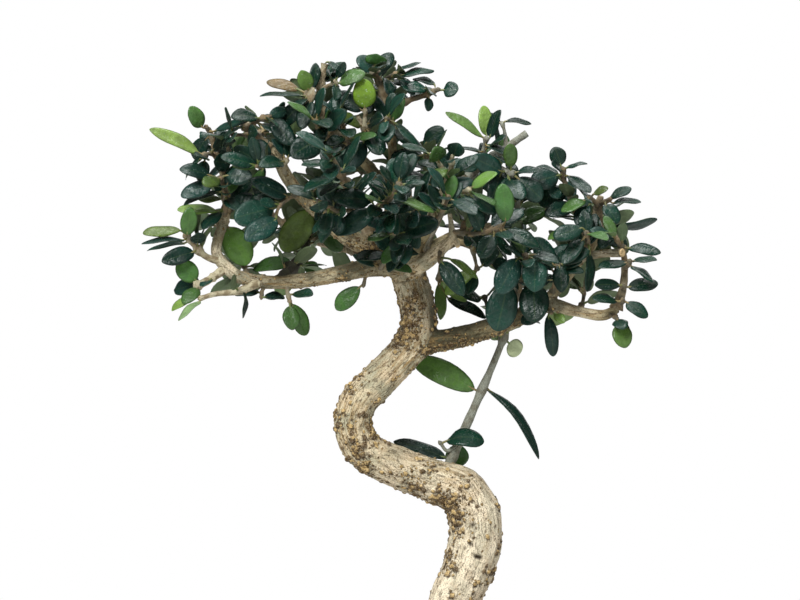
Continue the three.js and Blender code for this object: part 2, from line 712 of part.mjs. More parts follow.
      twig([[27, 8.5, 160.5], [23, 5.5, 161.5], [20, 4.5, 165]], 0),
    ],
    leaves: [
      leaf([37, 9, 192], [6, 6, 207.5], 12.5, 10, 0.7),
      leaf([43.5, 10, 192.5], [69.5, 16, 157], 8.5, 62, 0.75),
      leaf([22.5, 3.5, 166.5], [41.5, 1, 166.5], 12, 48, 1.15),
      leaf([29, 13.5, 164.5], [27, 16, 152.5], 12, 10),
      leaf([21.5, 12, 158], [-5.5, 14, 166.5], 10, 52),
      leaf([51.5, 14, 219], [60, 15, 210], 9.5, 15),
      leaf([48.5, 13, 217], [45, 15, 222], 6, 15),
      leaf([60, 16, 252], [72, 20, 260], 9, 30),
      leaf([57, 13, 250], [45, 18, 256], 9, 30),
      leaf([60, 14, 276], [72, 18, 283], 9, 30),
      leaf([57, 13, 274], [46, 18, 281], 9, 30),
    ],
  },
};

// ---------------------------------------------------------------- small geometry helpers
const UP = new THREE.Vector3(0, 0, 1);
const FRONT = new THREE.Vector3(0, -1, 0);
const NAMED_UP = new THREE.Vector3(0.3, 0, 1); // the side that a named leaf's face is turned up to
const vector = (p) => new THREE.Vector3(p[0], p[1], p[2]);
const cross = (a, b) => new THREE.Vector3().crossVectors(a, b);
const radians = THREE.MathUtils.degToRad;
const lerp = THREE.MathUtils.lerp;

// Park and Miller's generator, so that every run grows the same tree.
function seededDraws(seed) {
  let state = seed;
  return () => {
    state = (state * 16807) % 2147483647;
    return state / 2147483647;
  };
}

// A smooth line through the points, with the radius that they carry, or a thin twig's.
class Route {
  constructor(points) {
    this.pieces = points.length - 1;
    this.radii = points.map((p, i) => p[3] ?? lerp(TWIG_BASE, TWIG_TIP, i / this.pieces));
    this.curve = new THREE.CatmullRomCurve3(points.map(vector), false, "catmullrom", 0.5);
    const chord = vector(points[this.pieces]).sub(vector(points[0]));
    const sizes = [Math.abs(chord.x), Math.abs(chord.y), Math.abs(chord.z)];
    const least = sizes.indexOf(Math.min(...sizes));
    this.reference = vector([0, 1, 2].map((axis) => Number(axis === least)));
    this.spots = this.sampled();
  }

  tangent(t) {
    return this.curve.getTangent(t);
  }

  side(t) {
    return cross(this.reference, this.tangent(t)).normalize();
  }

  radius(t) {
    const i = Math.min(Math.floor(t * this.pieces), this.pieces - 1);
    return lerp(this.radii[i], this.radii[i + 1], t * this.pieces - i);
  }

  // The middle of the straight-sided limb with a ring at each of the route's points.
  core(t) {
    const i = Math.min(Math.floor(t * this.pieces), this.pieces - 1);
    const [start, end] = [i, i + 1].map((ring) => this.curve.getPoint(ring / this.pieces));
    return start.lerp(end, t * this.pieces - i);
  }

  // Spots along the route, each with the limb's middle and radius there.
  sampled() {
    const count = this.pieces * SPOTS_PER_PIECE;
    return Array.from({ length: count + 1 }, (_, i) => ({
      spot: this.curve.getPoint(i / count),
      core: this.core(i / count),
      radius: this.radius(i / count),
    }));
  }
}

const allSpots = (routes) => routes.flatMap((route) => route.spots);

// The spot that is nearest to a point.
function nearest(spots, point) {
  const nearer = (a, b) => (b.spot.distanceTo(point) < a.spot.distanceTo(point) ? b : a);
  return spots.reduce(nearer);
}

// A closed geometry as a solid.
function solid(geometry) {
  geometry.deleteAttribute("normal");
  geometry.deleteAttribute("uv");
  const merged = mergeVertices(geometry, 1e-3);
  return new wasm.Manifold(
    new wasm.Mesh({
      numProp: 3,
      vertProperties: merged.attributes.position.array,
      triVerts: new Uint32Array(merged.index.array),
    }),
  );
}

const joined = (solids) => solids.reduce((whole, next) => whole.add(next));

// A round limb along a route: a cylinder whose rings are moved onto it.
function limb(route, sides, steps, grow = 0, swell = () => 1) {
  const geometry = new THREE.CylinderGeometry(1, 1, 1, sides, steps);
  const places = geometry.attributes.position;
  for (let i = 0; i < places.count; i += 1) {
    const [cosine, sine] = [places.getX(i), places.getZ(i)];
    const t = places.getY(i) + 0.5;
    const side = route.side(t);
    const across = cross(side, route.tangent(t)).normalize();
    const spot = route.curve.getPoint(t);
    const radius = route.radius(t) * swell(spot.z, Math.atan2(sine, cosine)) + grow;
    spot.addScaledVector(side, cosine * radius).addScaledVector(across, sine * radius);
    places.setXYZ(i, spot.x, spot.y, spot.z);
  }
  return solid(geometry);
}

// ---------------------------------------------------------------- the wood
const trunkRoute = new Route(TRUNK);
const branchRoutes = Object.values(BRANCHES).map((points) => new Route(points));
const woodRoutes = [trunkRoute, ...branchRoutes];

// The trunk widens in lobes, one for each main root, as it comes down to the soil.
function rootFlare(height, angle) {
  const reach = THREE.MathUtils.clamp((ROOT_FLARE_TOP - height) / ROOT_FLARE_HEIGHT, 0, 1);
  return 1 + ROOT_FLARE_DEPTH * reach * Math.cos(ROOT_LOBES * angle);
}

function wood(grow) {
  const trunk = limb(trunkRoute, TRUNK_SIDES, TRUNK_STEPS, grow, rootFlare);
  const limbs = branchRoutes.map((route) => limb(route, LIMB_SIDES, route.pieces, grow));
  return joined([trunk, ...limbs]);
}

// ---------------------------------------------------------------- the leaves
// Half the blade's width, as a share of its greatest, at a share of its length.
const bladeOutline = (along) => Math.sqrt(Math.max(0, 1 - (2 * along ** 0.92 - 1) ** 2));

// Sets the blade's three directions: where it starts for, its upper face, and across.
function aimed(blade, direction, face) {
  blade.direction = direction.clone().normalize();
  blade.face = face.clone().addScaledVector(blade.direction, -face.dot(blade.direction)).normalize();
  blade.sideways = cross(blade.direction, blade.face);
  return blade;
}

// A point of the blade: along from 0 to 1, across from -1 to 1, and lift off its middle surface.
function bladePoint(blade, along, across, lift) {
  const half = Math.max((blade.width / 2) * bladeOutline(along), along < 1 ? STALK_HALF : 0);
  const reach = (blade.length * Math.sin(blade.bend * along)) / blade.bend;
  const droop = (blade.length * (1 - Math.cos(blade.bend * along))) / blade.bend;
  const rise = lift - droop + blade.fold * Math.abs(across) * half;
  const spot = blade.base.clone().addScaledVector(blade.direction, reach);
  return spot.addScaledVector(blade.sideways, across * half).addScaledVector(blade.face, rise);
}

// The points that stand for the blade when its distance to other things is measured.
function bladeSpots(blade) {
  const rows = Math.ceil(blade.length / SPOT_STEP);
  const columns = Math.ceil(blade.width / SPOT_STEP);
  const spots = [];
  for (let i = 1; i <= rows; i += 1)
    for (let j = 0; j <= columns; j += 1)
      spots.push(bladePoint(blade, i / rows, (0.9 * (2 * j - columns)) / columns, 0));
  return spots;
}

// The same blade swung about its root and scaled.
function swung(blade, axis, angle, scale) {
  const stalk = blade.base.clone().sub(blade.root).applyAxisAngle(axis, angle);
  const copy = { ...blade, base: blade.root.clone().add(stalk) };
  copy.length *= scale;
  copy.width *= scale;
  const turn = (direction) => direction.clone().applyAxisAngle(axis, angle);
  return aimed(copy, turn(blade.direction), turn(blade.face));
}

// A closed blade of 18 triangles, thickest under its midrib, with its stalk rooted in the twig.
function bladeSolid(blade) {
  const inward = blade.core.clone().sub(blade.base).normalize();
  const spots = [blade.core.clone().addScaledVector(inward, blade.rootDepth)];
  const section = [[-1, 0], [1, 0], [0, -LEAF_THICKNESS]];
  for (const along of BLADE_STATIONS)
    for (const [across, lift] of section) spots.push(bladePoint(blade, along, across, lift));
  spots.push(bladePoint(blade, 1, 0, 0));
  const tip = spots.length - 1;
  const faces = [];
  for (let k = 0; k < 3; k += 1) {
    const next = (k + 1) % 3;
    faces.push(0, 1 + next, 1 + k);
    for (let first = 1; first + 3 < tip; first += 3) {
      const [a, b] = [first + k, first + next];
      if (k < 2) faces.push(a, b, b + 3, a, b + 3, a + 3);
      else faces.push(a, b, a + 3, b, b + 3, a + 3);
    }
    faces.push(tip - 3 + k, tip - 3 + next, tip);
  }
  const geometry = new THREE.BufferGeometry().setFromPoints(spots);
  geometry.setIndex(faces);
  return solid(geometry);
}

// ---------------------------------------------------------------- growing the sprays
const draw = seededDraws(SEED);

// Every blade that is kept, and the bark that blades stay clear of.
class Canopy {
  constructor(bark) {
    this.bark = bark;
    this.blades = [];
  }

  isClear(blade) {
    const near = (spot, distance) => blade.spots.some((own) => own.distanceTo(spot) < distance);
    const reach = blade.length + SPOT_STEP;
    for (const other of this.blades) {
      if (other.base.distanceTo(blade.base) > reach + other.length) continue;
      if (other.spots.some((spot) => near(spot, LEAF_CLEARANCE))) return false;
    }
    for (const { spot, radius } of this.bark) {
      if (spot.distanceTo(blade.base) > reach + radius) continue;
      if (spot.distanceTo(blade.root) < radius + ROOT_REACH) continue;
      if (near(spot, radius + BARK_CLEARANCE)) return false;
    }
    return true;
  }

  // Keeps the blade, swung a little or shortened where it must be, or drops it.
  place(blade, axis, swings) {
    for (const scale of [1, 0.86, 0.72])
      for (const degrees of swings) {
        const tried = swung(blade, axis, radians(degrees), scale);
        tried.spots = bladeSpots(tried);
        if (this.isClear(tried)) {
          this.blades.push(tried);
          return tried;
        }
      }
    return null;
  }
}

// A named leaf: its chord runs from its base to its tip, and its face is turned up from the front.
function namedBlade(plan, seats) {
  const [base, tip] = [vector(plan.base), vector(plan.tip)];
  const root = nearest(seats, base);
  const stalk = base.clone().sub(root.spot);
  const chord = tip.clone().sub(base);
  if (stalk.angleTo(chord) > radians(WIDEST_TURN)) {
    stalk.subVectors(tip, root.spot).setLength(root.radius + STALK_LENGTH);
    base.addVectors(root.spot, stalk);
    chord.subVectors(tip, base);
  }
  const drawn = 0.25 + 0.4 * draw();
  const bend = plan.bend || drawn;
  const fold = 0.25 * draw();
  const length = (chord.length() * bend) / 2 / Math.sin(bend / 2);
  const blade = { base, root: root.spot, core: root.core, rootDepth: root.radius * 0.7 };
  Object.assign(blade, { length, width: plan.width, bend, fold });
  aimed(blade, chord, FRONT);
  blade.axis = blade.sideways;
  const raised = cross(blade.direction, blade.face);
  const sign = raised.dot(NAMED_UP) < 0 ? -1 : 1;
  const angle = radians(plan.turn);
  const face = blade.face.clone().multiplyScalar(Math.cos(angle));
  face.addScaledVector(raised, sign * Math.sin(angle));
  const start = blade.direction.clone().multiplyScalar(Math.cos(bend / 2));
  return aimed(blade, start.addScaledVector(face, Math.sin(bend / 2)), face);
}

// The two leaves of a pair. Each pair stands at right angles to the one below it.
function pairedBlades(route, plan, pair) {
  const share = plan.pairs > 1 ? pair / (plan.pairs - 1) : 1;
  const t = lerp(FIRST_PAIR, LAST_PAIR, share);
  const tangent = route.tangent(t);
  const side = route.side(t);
  const spread = lerp(WIDE_SPREAD, NARROW_SPREAD, share);
  const roll = 90 * pair + ROLL + 24 * draw();
  return [0, 180].map((half) => {
    const around = side.clone().applyAxisAngle(tangent, radians(roll + half + 16 * draw()));
    const angle = radians(spread + 16 * draw() - 8);
    const direction = tangent.clone().multiplyScalar(Math.cos(angle));
    direction.addScaledVector(around, Math.sin(angle));
    direction.z += 0.3 * draw() - 0.12;
    direction.normalize();
    const face = tangent.clone().multiplyScalar(0.7).addScaledVector(UP, 0.3 + 0.5 * draw());
    const length = plan.length * (0.85 + 0.3 * draw());
    const blade = { root: route.curve.getPoint(t), core: route.core(t), length };
    blade.rootDepth = route.radius(t) * 0.7;
    blade.base = blade.root.clone().addScaledVector(direction, route.radius(t) + STALK_LENGTH);
    blade.width = length * (0.46 + 0.1 * draw());
    blade.bend = 0.25 + 0.5 * draw();
    blade.fold = 0.25 * draw();
    blade.axis = tangent;
    return aimed(blade, direction, face);
  });
}

// The routes of each spray: the first starts on the wood, the others on the first.
const woodSpots = allSpots(woodRoutes);
const sprayRoutes = {};
for (const [name, { twigs }] of Object.entries(SPRAYS)) {
  const routes = [];
  for (const { route } of twigs) {
    const carriers = routes.length ? routes[0].spots : woodSpots;
    const seat = nearest(carriers, vector(route[0])).core;
    routes.push(new Route([[seat.x, seat.y, seat.z, route[0][3]], ...route.slice(1)]));
  }
  sprayRoutes[name] = routes;
}

// Whether a leaf can root at this spot of a twig, which it can't inside a branch.
function standsClear({ spot, radius }) {
  const reach = radius + ROOT_CLEARANCE;
  return woodSpots.every((bark) => bark.spot.distanceTo(spot) > bark.radius + reach);
}

const canopy = new Canopy([...woodSpots, ...allSpots(Object.values(sprayRoutes).flat())]);
const sprayBlades = {};
for (const [name, { leaves }] of Object.entries(SPRAYS)) {
  const seats = allSpots(sprayRoutes[name]).filter(standsClear);
  const blades = leaves.map((plan) => namedBlade(plan, seats));
  sprayBlades[name] = blades.map((blade) => canopy.place(blade, blade.axis, NAMED_SWINGS)).filter(Boolean);
}
for (const [name, { twigs }] of Object.entries(SPRAYS))
  twigs.forEach((plan, i) => {
    for (let pair = 0; pair < plan.pairs; pair += 1)
      for (const blade of pairedBlades(sprayRoutes[name][i], plan, pair)) {
        const kept = canopy.place(blade, blade.axis, PAIR_SWINGS);
        if (kept) sprayBlades[name].push(kept);
      }
  });

// A spray with its twigs and blades fused, cut a hair's breadth clear of the bark it grows from.
function spraySolid(name, bark) {
  const twigs = sprayRoutes[name].map((route) => limb(route, TWIG_SIDES, route.pieces));
  const blades = sprayBlades[name].map(bladeSolid);
  return joined([...twigs, ...blades]).subtract(bark);
}

// ---------------------------------------------------------------- the pot and its soil
const POT_SHAPE = POT_WIDTH / POT_LENGTH;
const RIM_RADIUS = POT_LENGTH / 2;
const MOUTH_RADIUS = RIM_RADIUS - RIM_WIDTH;
const WALL_FOOT_RADIUS = RIM_RADIUS * 0.72;
const FOOT_RADIUS = RIM_RADIUS * 0.74;
const SHOULDER = POT_HEIGHT - RIM_HEIGHT;

// A shape turned about the upright axis from its profile, and narrowed to the pot's oval.
function turned(profile) {
  const points = profile.map(([radius, height]) => new THREE.Vector2(radius, height));
  const geometry = new THREE.LatheGeometry(points, POT_SIDES);
  return solid(geometry.rotateX(Math.PI / 2).scale(1, POT_SHAPE, 1));
}

function pot() {
  const body = turned([
    [0, FOOT_HEIGHT],
    [FOOT_RADIUS - FOOT_WIDTH, FOOT_HEIGHT],
    [FOOT_RADIUS - FOOT_WIDTH, 0],
    [FOOT_RADIUS, 0],
    [FOOT_RADIUS + 2, FOOT_HEIGHT + 1],
    [RIM_RADIUS * 0.9, POT_HEIGHT * 0.42],
    [RIM_RADIUS - 4, SHOULDER - 2],
    [RIM_RADIUS, SHOULDER],
    [RIM_RADIUS, POT_HEIGHT],
    [MOUTH_RADIUS, POT_HEIGHT],
    [MOUTH_RADIUS - 2, SHOULDER - 2],
    [WALL_FOOT_RADIUS, POT_FLOOR],
    [0, POT_FLOOR],
  ]);
  const gaps = [[POT_LENGTH, FOOT_GAP], [FOOT_GAP, POT_WIDTH]].map(([length, width]) => {
    return solid(new THREE.BoxGeometry(length, width, FOOT_HEIGHT * 2));
  });
  const drains = [-1, 1].map((side) => {
    const hole = new THREE.CylinderGeometry(DRAIN_RADIUS, DRAIN_RADIUS, POT_FLOOR * 3, DRAIN_SIDES);
    return solid(hole.rotateX(Math.PI / 2).translate((side * DRAIN_SPACING) / 2, 0, 0));
  });
  return body.subtract(joined([...gaps, ...drains]));
}

// The soil fills the pot to just under its rim, and the trunk stands in a plain hole in it.
function soil(bark) {
  const edge = MOUTH_RADIUS - 2 + (2 * (SOIL_EDGE - SHOULDER + 2)) / (RIM_HEIGHT + 2);
  const body = turned([
    [0, POT_FLOOR + SEAT_GAP],
    [WALL_FOOT_RADIUS - SEAT_GAP * 1.5, POT_FLOOR + SEAT_GAP],
    [MOUTH_RADIUS - 2 - SEAT_GAP * 1.5, SHOULDER - 2],
    [edge - SEAT_GAP * 1.5, SOIL_EDGE],
    [RIM_RADIUS * 0.6, lerp(SOIL_EDGE, SOIL_TOP, 0.7)],
    [0, SOIL_TOP],
  ]);
  return body.subtract(bark);
}

// ---------------------------------------------------------------- the finished part
const LEAF_GREEN = { color: 0x1f4a3c, roughness: 0.42, metalness: 0 };
const BARK_BUFF = { color: 0xbfae86, roughness: 0.85, metalness: 0 };
const POT_CLAY = { color: 0x6d4a38, roughness: 0.7, metalness: 0 };
const SOIL_BROWN = { color: 0x4b3a2e, roughness: 0.95, metalness: 0 };

function mesh(name, shape, finish) {
  const { vertProperties, triVerts } = shape.getMesh();
  const geometry = new THREE.BufferGeometry();
  geometry.setAttribute("position", new THREE.BufferAttribute(vertProperties, 3));
  geometry.setIndex(new THREE.BufferAttribute(triVerts, 1));
  const made = new THREE.Mesh(geometry, new THREE.MeshStandardMaterial(finish));
  made.name = name;
  return made;
}

const clearOfBark = wood(SEAT_GAP);
const bonsai = new THREE.Group();
bonsai.add(mesh("pot", pot(), POT_CLAY));
bonsai.add(mesh("soil", soil(clearOfBark), SOIL_BROWN));
bonsai.add(mesh("trunk_and_branches", wood(0), BARK_BUFF));
for (const name of Object.keys(SPRAYS))
  bonsai.add(mesh(`spray_${name}`, spraySolid(name, clearOfBark), LEAF_GREEN));

export default bonsai;
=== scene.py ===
"""An olive bonsai in a plain oval pot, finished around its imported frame.

The tree is laid out in millimetres and made in metres, +Z up, with the pot's foot on z = 0.
"""

import json
import logging
import math
from dataclasses import dataclass, replace
from enum import Enum
from typing import Callable, Iterable, Optional, Sequence

import bpy
import numpy as np
from bpy.types import Material, Mesh, Node, NodeSocket, NodeTree, Object
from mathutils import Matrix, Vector, kdtree, noise

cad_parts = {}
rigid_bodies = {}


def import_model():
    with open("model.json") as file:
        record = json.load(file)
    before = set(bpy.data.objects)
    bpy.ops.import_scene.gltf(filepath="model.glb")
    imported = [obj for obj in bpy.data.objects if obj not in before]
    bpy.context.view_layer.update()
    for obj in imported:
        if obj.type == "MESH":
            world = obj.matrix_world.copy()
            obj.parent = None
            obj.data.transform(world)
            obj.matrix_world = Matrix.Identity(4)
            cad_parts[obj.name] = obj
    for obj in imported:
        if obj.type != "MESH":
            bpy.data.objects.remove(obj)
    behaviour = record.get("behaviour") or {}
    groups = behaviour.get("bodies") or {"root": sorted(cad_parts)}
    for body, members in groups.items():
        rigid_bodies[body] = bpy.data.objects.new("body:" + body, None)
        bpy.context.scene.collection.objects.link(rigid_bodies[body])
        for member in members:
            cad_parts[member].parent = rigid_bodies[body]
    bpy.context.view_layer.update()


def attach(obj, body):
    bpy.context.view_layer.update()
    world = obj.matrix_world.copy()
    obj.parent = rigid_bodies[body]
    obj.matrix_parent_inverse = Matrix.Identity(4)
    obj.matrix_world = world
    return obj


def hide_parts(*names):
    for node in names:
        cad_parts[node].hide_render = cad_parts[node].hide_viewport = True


LOG = logging.getLogger("olive_bonsai")
MM = 0.001
BODY = "root"

Colour = tuple[float, float, float, float]
Array = Point = np.ndarray
Chance = np.random.Generator


class Tone(Enum):
    """What a leaf's upper face looks like, by its age and how it was grown, as sRGB shares."""

    DARK = (0.04, 0.155, 0.115)
    TEAL = (0.08, 0.2, 0.165)
    MID = (0.22, 0.345, 0.16)
    BRIGHT = (0.32, 0.43, 0.20)
    LIGHT = (0.40, 0.50, 0.24)
    YOUNG = (0.45, 0.56, 0.18)
    OLIVE = (0.27, 0.33, 0.14)
    PALE = (0.46, 0.54, 0.38)
    MILKY = (0.66, 0.74, 0.56)
    DEAD = (0.47, 0.42, 0.29)


DARK, TEAL, MID, BRIGHT, LIGHT, YOUNG, OLIVE, PALE, MILKY, DEAD = Tone


@dataclass(frozen=True)
class Twig:
    """A twig of a spray.

    Attributes:
        route: Its points, with a radius where it isn't a thin twig's.
        pairs: How many pairs of leaves it carries by rule.
        length: The length of those leaves.
    """

    route: tuple
    pairs: int = 0
    length: float = 17.0


@dataclass(frozen=True)
class Leaf:
    """A leaf with a place of its own.

    Attributes:
        base: Where its blade starts.
        tip: Where its blade ends.
        width: Its greatest width.
        turn: How far its face is turned up from the front view, in degrees.
        tone: Its colour.
        bend: How far it droops along its length, in radians, or 0 to draw it.
    """

    base: tuple
    tip: tuple
    width: float
    turn: float
    tone: Tone = DARK
    bend: float = 0.0


@dataclass(frozen=True)
class Habit:
    """How the leaves that grow by rule stand on their twig.

    Attributes:
        scatter: How far their angle to the twig varies, in degrees.
        rise: How far they may hang down, and how much of their rise is drawn.
        width: Their least width as a share of the length, and how much of it is drawn.
        along: How far their faces lean along the twig.
        forward: How far their faces may turn to the front.
        upward: How far their faces turn up at least, and how much of it is drawn.
    """

    scatter: float
    rise: tuple[float, float]
    width: tuple[float, float]
    along: float
    forward: float = 0.0
    upward: tuple[float, float] = (0.3, 0.5)


@dataclass(frozen=True)
class Spray:
    """A leafy stem: its twigs, of which the first starts on the wood, and its own leaves."""

    twigs: tuple
    leaves: tuple

    @classmethod
    def of(cls, parts: tuple) -> "Spray":
        """Sort a stem's parts into its twigs and its leaves."""
        return cls(*(tuple(part for part in parts if isinstance(part, kind)) for kind in (Twig, Leaf)))


# The wood's routes: x, y, z, radius.
TRUNK = (
    (18.5, 0, 30, 16), (19.5, 0, 50, 17.4), (21, 0, 60, 15), (23, 0, 70, 13.9), (27, 1, 87, 13.4),
    (33.5, 2, 102, 13.6), (37.2, 3, 117, 13.9), (36.7, 3, 129.5, 13.9), (29.5, 3, 141.5, 12.8),
    (14.5, 2, 147, 11.2), (-2, 1, 153.5, 10.8), (-17.5, 0, 161.5, 10.5), (-24.2, -1, 174.5, 10.3),
    (-20.8, -2, 187, 10), (-11, -2, 197, 9.7), (-1.4, -2, 207, 9.6), (6.8, -1, 217, 9.6), (9, 0, 228, 9.4),
    (7, 0, 238.5, 9.4), (4, 0, 248, 9.4), (1.5, 0, 256, 7.2),
)

BRANCHES = {
    "right": (
        (3, 0, 212.5, 7), (12, -1, 215.5, 6.6), (27, -3, 218, 5.8), (44.5, -5, 223, 5.4),
        (59.5, -6, 228.5, 4.8), (73.5, -6, 234.5, 4.1), (87, -8, 231.5, 3.2), (100.5, -10, 229.5, 3),
        (108, -10.5, 233, 2.6),
    ),
    "right_upper": (
        (71, -6, 234, 3.4), (79.5, -1, 244.5, 3.2), (88.5, 3, 256, 3), (95.5, 5, 264.5, 3), (98, 5, 275, 2.9),
    ),
    "right_stub": ((88, 3, 257.5, 2.3), (99, -3, 260, 2.3), (110.5, -13, 260.5, 2.5)),
    "left": (
        (5, 0, 249, 6), (-0.5, -3, 253, 5.5), (-15.5, -7, 253, 5), (-30.5, -9, 250, 4.6),
        (-50.5, -9, 246.5, 4), (-68, -8, 246, 3.8), (-80.5, -5, 248.5, 3.6), (-88, -2, 254, 3.4),
        (-92.3, 0, 260.5, 3), (-91.3, 2, 268.5, 2.9), (-88, 3, 278, 2.5), (-86.3, 3, 288, 2.2),
        (-88, 2, 299, 1.9),
    ),
    "left_fork": ((-87.5, 3, 289, 1.8), (-84, 2, 297, 1.6), (-80.5, 0, 306, 1.3)),
    "upper_left": (
        (2, 0, 252, 7), (-13, -4, 262, 6), (-28, -5, 269, 4.5), (-40.5, -6, 280, 3.8),
        (-50.5, -5, 289.5, 3.6), (-57.5, -6, 299.5, 3.4), (-61, -8, 307, 3.2), (-67, -8.7, 313, 3),
    ),
    "upper_middle": (
        (1, 0, 253, 6), (-3, 3, 269.5, 4.6), (-5, 4, 284.5, 4), (-10.5, 3, 296, 3.5), (-19.5, 1, 307, 3),
        (-27, -1, 312, 2.6), (-32, -2.5, 318, 2.3),
    ),
    "pale_fork": ((-19.5, 1, 307, 2), (-18.5, -2, 313.5, 2), (-18, -3, 320, 1.9), (-22, -4, 329.5, 1.3)),
    "pale_fork_tip": ((-18, -3, 319, 1.8), (-16, -3, 324, 1.5), (-14, -3, 328, 1.2)),
    "leader": ((-8, 3, 291, 3), (-4.5, 7, 302, 2.6), (-4.5, 8, 317, 2.4), (-6, 8, 331.5, 2.1)),
    "grey": ((5, 3, 252, 4), (14, 8, 270, 3.2), (25.5, 9, 292, 2.5), (35, 7.5, 299.5, 2.2)),
    "crossing": (
        (6, 4, 252, 3.6), (19, 12, 266, 2.4), (33, 15, 265, 1.9), (44.5, 15, 257, 1.7), (54.5, 14, 247, 1.5),
    ),
    "front_right": (
        (1, -2, 250, 5.5), (12, -12, 256, 4.5), (19.5, -19, 262, 3.5), (25, -24, 267.5, 2.6),
        (25, -25, 273, 1.6), (24, -26, 280, 1.3),
    ),
    "front_hook": ((24, -23, 266.5, 2), (27, -25, 266, 1.7), (28.5, -26, 263, 1.4)),
    "front_middle": ((2, -2, 253, 4.5), (10, -14, 268, 3.6), (17, -24, 279.5, 2.7)),
    "front_left": ((0, -2, 253, 4.5), (-10, -15, 264, 3.8), (-17, -29, 273.5, 3.1)),
    "back_left": ((0, 2, 251, 6), (-14, 16, 260, 5), (-33, 35, 266, 3.6)),
    "back_right": ((2, 2, 250, 6), (16, 18, 262, 5), (35, 36.5, 272, 3.6)),
    "back_upper": ((0, 2, 254, 5), (2, 14, 270, 4), (3, 28.5, 287.5, 3.1)),
}

